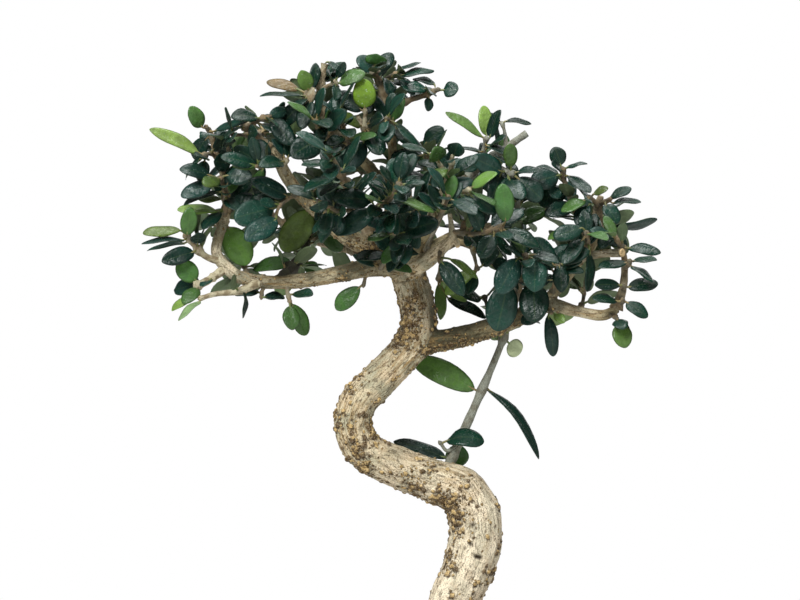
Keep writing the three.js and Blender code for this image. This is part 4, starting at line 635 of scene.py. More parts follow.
class Route:
    """A smooth line through points that carry a radius, in millimetres."""

    def __init__(self, points: Sequence[Sequence[float]]) -> None:
        """Lay the line.

        Args:
            points: x, y, z and, where it isn't a thin twig's, the radius.
        """
        self.pieces = len(points) - 1
        places = [np.array(point[:3], float) for point in points]
        self.radii = [
            point[3] if len(point) > 3 else lerp(TWIG_BASE, TWIG_TIP, i / self.pieces)
            for i, point in enumerate(points)
        ]
        chord = places[-1] - places[0]
        self.reference = np.eye(3)[int(np.argmin(np.abs(chord)))]
        self.knots = [2 * places[0] - places[1], *places, 2 * places[-1] - places[-2]]
        shares = [i / (self.pieces * SPOTS_PER_PIECE) for i in range(self.pieces * SPOTS_PER_PIECE + 1)]
        self.spots = np.array([self.point(share) for share in shares])
        self.cores = np.array([self.core(share) for share in shares])
        self.spot_radii = np.array([self.radius(share) for share in shares])

    def piece(self, share: float) -> tuple[int, float]:
        """Return the piece that a share of the line falls on, and the share of that piece.

        Args:
            share: The share of the whole line.

        Returns:
            The piece's number, and the share of it.
        """
        place = share * self.pieces
        start = min(int(place), self.pieces - 1)
        return start, place - start

    def point(self, share: float) -> Point:
        """Return the line's point at a share of its pieces.

        Args:
            share: The share of the whole line.

        Returns:
            The point on the smooth line.
        """
        start, along = self.piece(share)
        before, first, second, after = self.knots[start : start + 4]
        leave, arrive = 0.5 * (second - before), 0.5 * (after - first)
        square = 2 * first - 2 * second + leave + arrive
        turn = 3 * second - 3 * first - 2 * leave - arrive
        return first + along * (leave + along * (turn + along * square))

    def tangent(self, share: float) -> Point:
        """Return the line's direction at a share of its pieces."""
        return unit(self.point(min(share + 1e-4, 1.0)) - self.point(max(share - 1e-4, 0.0)))

    def side(self, share: float) -> Point:
        """Return the sideways direction at a share of the line."""
        return unit(np.cross(self.reference, self.tangent(share)))

    def radius(self, share: float) -> float:
        """Return the limb's radius at a share of the line."""
        start, along = self.piece(share)
        return lerp(self.radii[start], self.radii[start + 1], along)

    def core(self, share: float) -> Point:
        """Return the point at that share of the straight lines between the route's points."""
        start, along = self.piece(share)
        return lerp(self.knots[start + 1], self.knots[start + 2], along)

    def sampled(self, steps: int) -> tuple[Array, Array, Array]:
        """Sample the line closely.

        Args:
            steps: How many steps each piece takes.

        Returns:
            The shares, and the line's places and radii there.
        """
        shares = np.linspace(0, 1, self.pieces * steps + 1)
        places = np.array([self.point(share) for share in shares])
        return shares, places, np.array([self.radius(share) for share in shares])


@dataclass(frozen=True)
class Bark:
    """Spots along some limbs, with each limb's middle and radius there."""

    spots: Array
    cores: Array
    radii: Array

    @classmethod
    def of(cls, routes: Iterable[Route]) -> "Bark":
        """Return the spots of all the routes, in order.

        Args:
            routes: The limbs' lines.

        Returns:
            The spots with their middles and radii.
        """
        kept = list(routes)
        return cls(
            np.concatenate([route.spots for route in kept]),
            np.concatenate([route.cores for route in kept]),
            np.concatenate([route.spot_radii for route in kept]),
        )

    def nearest(self, place: Point) -> int:
        """Return the number of the spot that is nearest to a place."""
        return int(np.argmin(np.linalg.norm(self.spots - place, axis=1)))

    def where(self, chosen: Array) -> "Bark":
        """Return only the chosen spots."""
        return Bark(self.spots[chosen], self.cores[chosen], self.radii[chosen])


@dataclass
class Blade:
    """A leaf's blade: where it starts, which way it goes and how it curves, in millimetres."""

    base: Point
    root: Point
    core: Point
    length: float
    width: float
    bend: float
    fold: float
    tone: Tone
    axis: Optional[Point] = None
    direction: Optional[Point] = None
    face: Optional[Point] = None
    sideways: Optional[Point] = None
    spots: Optional[Array] = None

    def aim(self, direction: Point, face: Point) -> "Blade":
        """Set where the blade starts for and which way its upper face looks.

        Args:
            direction: Where it starts for.
            face: What its upper face looks to, before it is squared to the direction.

        Returns:
            The blade.
        """
        self.direction = unit(direction)
        self.face = unit(face - self.direction * face.dot(self.direction))
        self.sideways = np.cross(self.direction, self.face)
        return self

    def curved(self, along: Array, across: Array, half: Array, lift: Array) -> Array:
        """Bend flat places of a blade onto this one.

        Args:
            along: From 0 at the base to 1 at the tip.
            across: From -1 to 1.
            half: Half the width there.
            lift: Height over the blade's middle surface.

        Returns:
            The places, one row each.
        """
        reach = self.length * np.sin(self.bend * along) / self.bend
        droop = self.length * (1 - np.cos(self.bend * along)) / self.bend
        rise = lift - droop + self.fold * np.abs(across) * half
        parts = (reach, self.direction), (across * half, self.sideways), (rise, self.face)
        return self.base + sum(np.outer(size, way) for size, way in parts)

    def sampled(self) -> Array:
        """Return the places that stand for the blade when its distance to other things is measured.

        Returns:
            The places, one row each.
        """
        rows = math.ceil(self.length / SPOT_STEP)
        columns = math.ceil(self.width / SPOT_STEP)
        along = np.repeat(np.arange(1, rows + 1) / rows, columns + 1)
        across = np.tile(0.9 * (2 * np.arange(columns + 1) - columns) / columns, rows)
        outline = np.sqrt(np.maximum(0, 1 - (2 * along**0.92 - 1) ** 2))
        half = np.maximum(self.width / 2 * outline, np.where(along < 1, STALK_HALF, 0))
        return self.curved(along, across, half, np.zeros_like(along))

    def swung(self, degrees: float, scale: float) -> "Blade":
        """Return the same blade swung about its root and scaled.

        Args:
            degrees: How far it is swung.
            scale: What share of its size it keeps.

        Returns:
            The new blade, with the places that stand for it.
        """
        copy = replace(self, base=self.root + turned(self.base - self.root, self.axis, degrees))
        copy.length *= scale
        copy.width *= scale
        copy.aim(turned(self.direction, self.axis, degrees), turned(self.face, self.axis, degrees))
        copy.spots = copy.sampled()
        return copy


class Canopy:
    """Every blade that is kept, and the bark that blades stay clear of."""

    def __init__(self, bark: Bark) -> None:
        """Start with no blades.

        Args:
            bark: The spots of the wood and of every twig.
        """
        self.bark = bark
        self.blades: list[Blade] = []
        self.clearance = LEAF_CLEARANCE

    def is_clear(self, blade: Blade) -> bool:
        """Return whether the blade is clear of the other blades and of bark that isn't its own twig.

        Args:
            blade: The blade.

        Returns:
            Whether nothing is too near to it.
        """
        reach = blade.length + SPOT_STEP
        for other in self.blades:
            if np.linalg.norm(other.base - blade.base) > reach + other.length:
                continue
            gaps = other.spots[:, None] - blade.spots[None]
            if np.einsum("ijk,ijk->ij", gaps, gaps).min() < self.clearance**2:
                return False
        far = np.linalg.norm(self.bark.spots - blade.base, axis=1) > reach + self.bark.radii
        own = np.linalg.norm(self.bark.spots - blade.root, axis=1) < self.bark.radii + ROOT_REACH
        bark = self.bark.where(~far & ~own)
        if not len(bark.spots):
            return True
        gaps = np.linalg.norm(bark.spots[:, None] - blade.spots[None], axis=2)
        return bool((gaps >= bark.radii[:, None] + BARK_CLEARANCE).all())

    def place(self, blade: Blade, swings: Iterable[float]) -> Optional[Blade]:
        """Keep the blade, swung a little or shortened where it must be, or drop it.

        Args:
            blade: The blade as planned.
            swings: The swings to try, in degrees.

        Returns:
            The blade that was kept, or None.
        """
        for scale in SHORTENINGS:
            for degrees in swings:
                tried = blade.swung(degrees, scale)
                if self.is_clear(tried):
                    self.blades.append(tried)
                    return tried
        return None


class Grower:
    """Lays out the wood, the twigs and the leaves by the tree's rule."""

    def __init__(self) -> None:
        """Lay out the routes, and then place the leaves, those with places of their own first."""
        self.draws = Draws(SEED)
        self.tones = Draws(SEED + 1)
        self.wood_routes = [Route(TRUNK), *(Route(points) for points in BRANCHES.values())]
        self.wood = Bark.of(self.wood_routes)
        sprays = {name: Spray.of(parts) for name, parts in SPRAYS.items()}
        self.routes = {name: self.spray_routes(spray) for name, spray in sprays.items()}
        twigs = [route for routes in self.routes.values() for route in routes]
        self.canopy = Canopy(Bark.of([*self.wood_routes, *twigs]))
        self.blades: dict[str, list[Blade]] = {}
        for name, spray in sprays.items():
            seats = Bark.of(self.routes[name])
            seats = seats.where(self.stands_clear(seats))
            planned = [self.own_blade(leaf, seats) for leaf in spray.leaves]
            self.blades[name] = self.kept(planned, NAMED_SWINGS)
        for name, spray in sprays.items():
            for route, twig in zip(self.routes[name], spray.twigs):
                for pair in range(twig.pairs):
                    self.blades[name] += self.kept(self.paired_blades(route, twig, pair), PAIR_SWINGS)
        self.fill()

    def kept(self, planned: Sequence[Blade], swings: Sequence[float]) -> list[Blade]:
        """Return those of the planned blades that find a place."""
        placed = [self.canopy.place(blade, swings) for blade in planned]
        return [blade for blade in placed if blade is not None]

    def spray_routes(self, spray: Spray) -> list[Route]:
        """Return a spray's routes: the first starts on the wood, the others on the first.

        Args:
            spray: The spray.

        Returns:
            The routes, in the order of its twigs.
        """
        routes: list[Route] = []
        for twig in spray.twigs:
            carriers = Bark.of(routes[:1]) if routes else self.wood
            first = twig.route[0]
            seat = carriers.cores[carriers.nearest(np.array(first[:3], float))]
            routes.append(Route([(*seat, *first[3:]), *twig.route[1:]]))
        return routes

    def stands_clear(self, seats: Bark) -> Array:
        """Return which spots of a twig a leaf can root at, which it can't inside a branch.

        Args:
            seats: The twig's spots.

        Returns:
            Whether each of them stands clear.
        """
        gaps = np.linalg.norm(seats.spots[:, None] - self.wood.spots[None], axis=2)
        reach = seats.radii[:, None] + self.wood.radii[None] + ROOT_CLEARANCE
        return (gaps > reach).all(axis=1)

    def own_blade(self, leaf: Leaf, seats: Bark) -> Blade:
        """Plan a leaf that has a place of its own.

        Args:
            leaf: The leaf.
            seats: The spots of its spray that it can root at.

        Returns:
            Its blade, whose chord runs from its base to its tip.
        """
        base, tip = np.array(leaf.base, float), np.array(leaf.tip, float)
        seat = seats.nearest(base)
        root = seats.spots[seat]
        if angle_between(base - root, tip - base) > WIDEST_TURN:
            base = root + unit(tip - root) * (seats.radii[seat] + STALK_LENGTH)
        chord = tip - base
        drawn = LEAST_BEND + OWN_BEND * self.draws.next()
        bend = leaf.bend or drawn
        fold = MOST_FOLD * self.draws.next()
        length = np.linalg.norm(chord) * bend / 2 / math.sin(bend / 2)
        blade = Blade(base, root, seats.cores[seat], length, leaf.width, bend, fold, leaf.tone)
        blade.aim(chord, FRONT)
        blade.axis = blade.sideways
        raised = np.cross(blade.direction, blade.face)
        sign = -1 if raised.dot(NAMED_UP) < 0 else 1
        angle = math.radians(leaf.turn)
        face = blade.face * math.cos(angle) + raised * sign * math.sin(angle)
        return blade.aim(blade.direction * math.cos(bend / 2) + face * math.sin(bend / 2), face)

    def paired_blades(self, route: Route, twig: Twig, pair: int) -> list[Blade]:
        """Plan the two leaves of a pair, which stands at right angles to the one below it.

        Args:
            route: The twig's line.
            twig: The twig.
            pair: Which pair it is, from the twig's foot.

        Returns:
            The two blades.
        """
        share = pair / (twig.pairs - 1) if twig.pairs > 1 else 1.0
        place, spread = lerp(FIRST_PAIR, LAST_PAIR, share), lerp(WIDE_SPREAD, NARROW_SPREAD, share)
        roll = 90 * pair + ROLL + ROLL_SCATTER[0] * self.draws.next()
        blades = []
        for half in (0, 180):
            turn = roll + half + ROLL_SCATTER[1] * self.draws.next()
            blades.append(self.sprouted(
                route, place, turn, spread, PAIRED,
                lambda drawn: twig.length * (PAIR_LENGTHS[0] + PAIR_LENGTHS[1] * drawn),
            ))
        return blades

    def sprouted(
        self, route: Route, place: float, turn: float, spread: float, habit: Habit,
        length_of: Callable[[float], float],
    ) -> Blade:
        """Plan a leaf that grows by rule.

        Args:
            route: The twig's line.
            place: The share of the line where it grows.
            turn: How far round the twig it grows, in degrees.
            spread: Its usual angle to the twig, in degrees.
            habit: How such leaves stand.
            length_of: What makes a length from a drawn share.

        Returns:
            The blade.
        """
        draw = self.draws.next
        tangent, root = route.tangent(place), route.point(place)
        around = turned(route.side(place), tangent, turn)
        angle = math.radians(spread + habit.scatter * draw() - habit.scatter / 2)
        direction = tangent * math.cos(angle) + around * math.sin(angle)
        direction[2] += habit.rise[1] * draw() - habit.rise[0]
        direction = unit(direction)
        face = tangent * habit.along + UP * (habit.upward[0] + habit.upward[1] * draw())
        if habit.forward:
            face = face + FRONT * habit.forward * draw()
        length = length_of(draw())
        width = length * (habit.width[0] + habit.width[1] * draw())
        bend, fold = LEAST_BEND + RULED_BEND * draw(), MOST_FOLD * draw()
        base = root + direction * (route.radius(place) + STALK_LENGTH)
        blade = Blade(base, root, route.core(place), length, width, bend, fold, self.drawn_tone(), tangent)
        return blade.aim(direction, face)

    def fill(self) -> None:
        """Fill the crown up with smaller leaves, where the camera sees no gap in it."""
        self.canopy.clearance = FILL_CLEARANCE
        self.draws = Draws(SEED + 5)
        for name, routes in self.routes.items():
            seats = Bark.of(routes)
            seats = seats.where(self.stands_clear(seats))
            for route in routes:
                length = np.linalg.norm(np.diff(route.spots, axis=0), axis=1).sum()
                for _ in range(int(length / FILL_STEP)):
                    blade = self.filling_blade(route)
                    gaps = np.linalg.norm(seats.spots - blade.root, axis=1)
                    seated = len(gaps) and gaps.min() < SPOT_STEP
                    swings = [swing for swing in FILL_SWINGS if self.is_wanted(blade.swung(swing, 1.0))]
                    if seated and swings:
                        self.blades[name] += self.kept([blade], swings)

    def filling_blade(self, route: Route) -> Blade:
        """Plan a leaf anywhere on a twig.

        Args:
            route: The twig's line.

        Returns:
            The blade.
        """
        place = lerp(FILL_FROM, 1.0, self.draws.next())
        turn, spread = 360 * self.draws.next(), lerp(WIDE_SPREAD, NARROW_SPREAD, place)
        return self.sprouted(
            route, place, turn, spread, FILLING, lambda drawn: lerp(FILL_SHORTEST, FILL_LONGEST, drawn)
        )

    def is_wanted(self, blade: Blade) -> bool:
        """Return whether a blade lies within the crown's outline and hides nothing that is to be seen.

        Args:
            blade: The blade.

        Returns:
            Whether it is wanted.
        """
        spots = blade.sampled()
        reach = (spots[:, 1] - EYE[1]) / -EYE[1]
        x = EYE[0] + (spots[:, 0] - EYE[0]) / reach
        z = EYE[2] + (spots[:, 2] - EYE[2]) / reach
        crossings = np.zeros(len(x), int)
        for (x0, z0), (x1, z1) in zip(OUTLINE, OUTLINE[1:] + OUTLINE[:1]):
            spans = (z0 > z) != (z1 > z)
            crossings += spans & (x < x0 + (z - z0) * (x1 - x0) / ((z1 - z0) or 1))
        kept_free = [(*gap, math.inf) for gap in GAPS] + list(SHOWN)
        hides = [
            ((x > x0) & (x < x1) & (z > z0) & (z < z1) & (spots[:, 1] < front)).any()
            for x0, z0, x1, z1, front in kept_free
        ]
        return bool((crossings % 2 == 1).all()) and not any(hides)

    def drawn_tone(self) -> Tone:
        """Return a tone for a leaf by rule: most are dark, a few are young."""
        share = self.tones.next()
        return next(tone for limit, tone in TONE_LIMITS if share < limit)


# ------------------------------------------------------------------ modelling by hand


def deselect() -> None:
    """Leave nothing selected or active."""
    for thing in bpy.context.selected_objects:
        thing.select_set(False)
    bpy.context.view_layer.objects.active = None


def select_only(*things: Object) -> None:
    """Select these objects alone, with the first one active.

    Args:
        things: The objects, of which the first becomes the active one.
    """
    deselect()
    for thing in things:
        thing.select_set(True)
    bpy.context.view_layer.objects.active = things[0]


def named(name: str) -> Object:
    """Return the active object under a new name.

    Args:
        name: The name, which its data takes too.

    Returns:
        The object.
    """
    made = bpy.context.active_object
    made.name = made.data.name = name
    return made


def apply_modifier(piece: Object, kind: str, **settings: object) -> None:
    """Add a modifier to a piece and apply it.

    Args:
        piece: The piece.
        kind: The modifier's type.
        settings: What is set on it.
    """
    select_only(piece)
    modifier = piece.modifiers.new(kind.title(), kind)
    for key, value in settings.items():
        setattr(modifier, key, value)
    bpy.ops.object.modifier_apply(modifier=modifier.name)


def joined(pieces: Sequence[Object]) -> Object:
    """Join the pieces into the first one.

    Args:
        pieces: The pieces.

    Returns:
        The first piece, which now holds them all.
    """
    select_only(*pieces)
    if len(pieces) > 1:
        bpy.ops.object.join()
    return pieces[0]


def places_of(mesh: Mesh) -> Array:
    """Return a mesh's vertices, one row each.

    Args:
        mesh: The mesh.

    Returns:
        Its places in rows of x, y and z.
    """
    flat = np.empty(len(mesh.vertices) * 3, np.float32)
    mesh.vertices.foreach_get("co", flat)
    return flat.reshape(-1, 3).astype(float)


def move_places(mesh: Mesh, places: Array) -> None:
    """Put a mesh's vertices at these places."""
    mesh.vertices.foreach_set("co", places.astype(np.float32).ravel())
    mesh.update()


def normals_of(mesh: Mesh) -> Array:
    """Return the directions that a mesh's vertices face.

    Args:
        mesh: The mesh.

    Returns:
        The directions, each of length 1.
    """
    flat = np.empty(len(mesh.vertices) * 3, np.float32)
    mesh.vertex_normals.foreach_get("vector", flat)
    return flat.reshape(-1, 3).astype(float)


def put_attribute(mesh: Mesh, name: str, values: Array, kind: str = "FLOAT") -> None:
    """Store a value for each vertex of a mesh.

    Args:
        mesh: The mesh.
        name: The attribute's name.
        values: One row for each vertex.
        kind: FLOAT, FLOAT_VECTOR or FLOAT_COLOR.
    """
    attribute = mesh.attributes.get(name) or mesh.attributes.new(name, kind, "POINT")
    field_name = {"FLOAT": "value", "FLOAT_VECTOR": "vector", "FLOAT_COLOR": "color"}[kind]
    attribute.data.foreach_set(field_name, values.astype(np.float32).ravel())


def linked(name: str, data: object) -> Object:
    """Return a new object for some data, in the scene.

    Args:
        name: The object's name.
        data: Its mesh or curve.

    Returns:
        The object.
    """
    made = bpy.data.objects.new(name, data)
    bpy.context.scene.collection.objects.link(made)
    return made


def triangles_of(piece: Object) -> int:
    """Return how many triangles a piece has."""
    return sum(len(face.vertices) - 2 for face in piece.data.polygons)


def tree_of(places: Array) -> kdtree.KDTree:
    """Return a tree that finds which of the places are near a place.

    Args:
        places: The places, one row each.

    Returns:
        The tree, which knows a place by its row.
    """
    tree = kdtree.KDTree(len(places))
    for number, place in enumerate(places):
        tree.insert(place, number)
    tree.balance()
    return tree


def tube(name: str, lines: Iterable[tuple[Array, Array]], roundness: int) -> Object:
    """Draw round limbs along some lines, and turn them into a mesh.

    Args:
        name: The object's name.
        lines: For each limb its places and radii, in millimetres.
        roundness: How finely they are rounded.

    Returns:
        The mesh object.
    """
    curve = bpy.data.curves.new(name, "CURVE")
    curve.dimensions = "3D"
    curve.bevel_depth = MM
    curve.bevel_resolution = roundness
    curve.use_fill_caps = True
    for places, radii in lines:
        spline = curve.splines.new("POLY")
        spline.points.add(len(places) - 1)
        spline.points.foreach_set("co", np.column_stack([places * MM, np.ones(len(places))]).ravel())
        spline.points.foreach_set("radius", radii)
    select_only(linked(name, curve))
    bpy.ops.object.convert(target="MESH")
    return named(name)


def finished(piece: Object, slot: str, *nodes: str) -> Object:
    """Let a finished piece stand for its nodes.

    Args:
        piece: The piece, in place.
        slot: Not used.
        nodes: The nodes that it replaces.

    Returns:
        The piece.
    """
    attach(piece, BODY)
    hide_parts(*nodes)
    LOG.info("%s: %d triangles", piece.name, triangles_of(piece))
    return piece


# ------------------------------------------------------------------ finishes


class Nodes:
    """Short ways to lay out a tree of shader nodes."""

    def __init__(self, tree: NodeTree) -> None:
        """Start from an empty tree."""
        self.tree = tree
        tree.nodes.clear()

    def feed(self, socket: NodeSocket, value: object) -> None:
        """Link an output to a socket, or set the socket's own value.

        Args:
            socket: The input.
            value: A node, an output or a plain value.
        """
        if isinstance(value, Node):
            value = value.outputs[0]
        if isinstance(value, NodeSocket):
            self.tree.links.new(value, socket)
        else:
            socket.default_value = value

    def feed_all(self, node: Node, inputs: dict) -> Node:
        """Feed several inputs of a node, by their names or numbers.

        Args:
            node: The node.
            inputs: What feeds each input.

        Returns:
            The node.
        """
        for key, value in inputs.items():
            self.feed(node.inputs[key], value)
        return node

    def add(self, kind: str, inputs: Optional[dict] = None, **settings: object) -> Node:
        """Add a node.

        Args:
            kind: The node's type.
            inputs: What feeds each input, by its name or number.
            settings: What is set on the node.

        Returns:
            The node.
        """
        node = self.tree.nodes.new(kind)
        for key, value in settings.items():
            setattr(node, key, value)
        return self.feed_all(node, inputs or {})

    def math(self, operation: str, first: object, second: object = 0.0) -> NodeSocket:
        """Return the result of a sum on two values."""
        return self.add("ShaderNodeMath", {0: first, 1: second}, operation=operation).outputs[0]

    def times(self, first: object, second: object) -> NodeSocket:
        """Return two values multiplied."""
        return self.math("MULTIPLY", first, second)

    def bumped(self, height: object, depth: object) -> Node:
        """Return the bumpy normal of a relief that is this deep at most."""
        return self.add("ShaderNodeBump", {"Height": height, "Distance": depth})

    def ranged(self, value: object, low: float, high: float, start: float = 0.0, end: float = 1.0) -> object:
        """Return a value mapped smoothly from low to high onto start to end."""
        inputs = {"Value": value, "From Min": low, "From Max": high, "To Min": start, "To Max": end}
        return self.add("ShaderNodeMapRange", inputs, interpolation_type="SMOOTHSTEP").outputs[0]

    def mixed(self, share: object, first: object, second: object) -> NodeSocket:
        """Return two colours mixed by a share."""
        inputs = {0: share, 6: first, 7: second}
        return self.add("ShaderNodeMix", inputs, data_type="RGBA").outputs[2]

    def clouds(self, place: object, scale: object, detail: float = 3.0, rough: float = 0.55) -> object:
        """Return a soft noise over the places."""
        inputs = {"Vector": place, "Scale": scale, "Detail": detail, "Roughness": rough}
        return self.add("ShaderNodeTexNoise", inputs).outputs["Fac"]

    def objects(self) -> NodeSocket:
        """Return the places on the object."""
        return self.add("ShaderNodeTexCoord").outputs["Object"]

    def attribute(self, name: str, output: str = "Fac") -> NodeSocket:
        """Return what a mesh attribute says."""
        return self.add("ShaderNodeAttribute", attribute_name=name).outputs[output]


def group(name: str, inputs: dict[str, tuple[str, object]], outputs: dict[str, str]) -> tuple:
    """Make an empty node group.

    Args:
        name: Its name.
        inputs: The kind of each input and its usual value.
        outputs: The kind of each output.

    Returns:
        The group's nodes, its input node and its output node.
    """
    tree = bpy.data.node_groups.new(name, "ShaderNodeTree")
    for label, (kind, value) in inputs.items():
        socket = tree.interface.new_socket(label, in_out="INPUT", socket_type=kind)
        if value is not None:
            socket.default_value = value
    for label, kind in outputs.items():
        tree.interface.new_socket(label, in_out="OUTPUT", socket_type=kind)
    nodes = Nodes(tree)
    return nodes, nodes.add("NodeGroupInput"), nodes.add("NodeGroupOutput")


def mottle_group() -> NodeTree:
    """Make the group that varies a colour in soft patches and fine specks.

    Returns:
        The group's tree.
    """
    inputs = {
        "Vector": ("NodeSocketVector", None),
        "Base": ("NodeSocketColor", (0.5, 0.5, 0.5, 1.0)),
        "Patch": ("NodeSocketColor", (0.4, 0.4, 0.4, 1.0)),
        "Speck": ("NodeSocketColor", (0.1, 0.1, 0.1, 1.0)),
        "Scale": ("NodeSocketFloat", 60.0),
        "Patches": ("NodeSocketFloat", 0.5),
        "Specks": ("NodeSocketFloat", 0.3),
    }
    nodes, given, out = group("mottle", inputs, {"Color": "NodeSocketColor"})
    place, base, patch, speck, scale, patches, specks = given.outputs[:7]
    wide = nodes.ranged(nodes.clouds(place, scale, 4.0), 0.42, 0.62)
    fine = nodes.ranged(nodes.clouds(place, nodes.times(scale, 14.0), 2.0), 0.58, 0.72)
    patched = nodes.mixed(nodes.times(wide, patches), base, patch)
    nodes.feed(out.inputs["Color"], nodes.mixed(nodes.times(fine, specks), patched, speck))
    return nodes.tree


def grain_group() -> NodeTree:
    """Make the group that turns rough noise into a bumpy normal.

    Returns:
        The group's tree.
    """
    inputs = {
        "Vector": ("NodeSocketVector", None),
        "Scale": ("NodeSocketFloat", 400.0),
        "Depth": ("NodeSocketFloat", 0.0002),
    }
    nodes, given, out = group("grain", inputs, {"Normal": "NodeSocketVector"})
    place, scale, depth = given.outputs[:3]
    nodes.feed(out.inputs["Normal"], nodes.bumped(nodes.clouds(place, scale, 5.0, 0.65), depth))
    return nodes.tree


class Finish:
    """What every finish shares: a material with one shader, and the shared groups."""

    def start(self, name: str) -> tuple[Nodes, Node, Material]:
        """Make a material.

        Args:
            name: Its name.

        Returns:
            Its nodes, its shader and the material.
        """
        material = bpy.data.materials.new(name)
        material.use_nodes = True
        nodes = Nodes(material.node_tree)
        shader = nodes.add("ShaderNodeBsdfPrincipled")
        nodes.add("ShaderNodeOutputMaterial", {"Surface": shader})
        return nodes, shader, material

    def shared(self, nodes: Nodes, name: str, inputs: dict) -> Node:
        """Place a shared group, which is made the first time it is used.

        Args:
            nodes: The material's nodes.
            name: The group's name.
            inputs: What feeds each of its inputs.

        Returns:
            The placed group.
        """
        makers: dict[str, Callable] = {"mottle": mottle_group, "grain": grain_group}
        tree = bpy.data.node_groups.get(name) or makers[name]()
        return nodes.feed_all(nodes.add("ShaderNodeGroup", node_tree=tree), inputs)

    def mottled(self, nodes: Nodes, place: object, colours: tuple, **settings: object) -> Node:
        """Vary a colour.

        Args:
            nodes: The material's nodes.
            place: The places on the object.
            colours: The colour, that of its patches and that of its specks.
            settings: The Scale of the patches, and the share of the Patches and of the Specks.

        Returns:
            The placed group.
        """
        named_colours = dict(zip(("Base", "Patch", "Speck"), colours))
        return self.shared(nodes, "mottle", {"Vector": place, **named_colours, **settings})

    def grained(self, nodes: Nodes, place: object, scale: float, depth: float) -> Node:
        """Place the shared grain, which roughens the surface."""
        return self.shared(nodes, "grain", {"Vector": place, "Scale": scale, "Depth": depth})


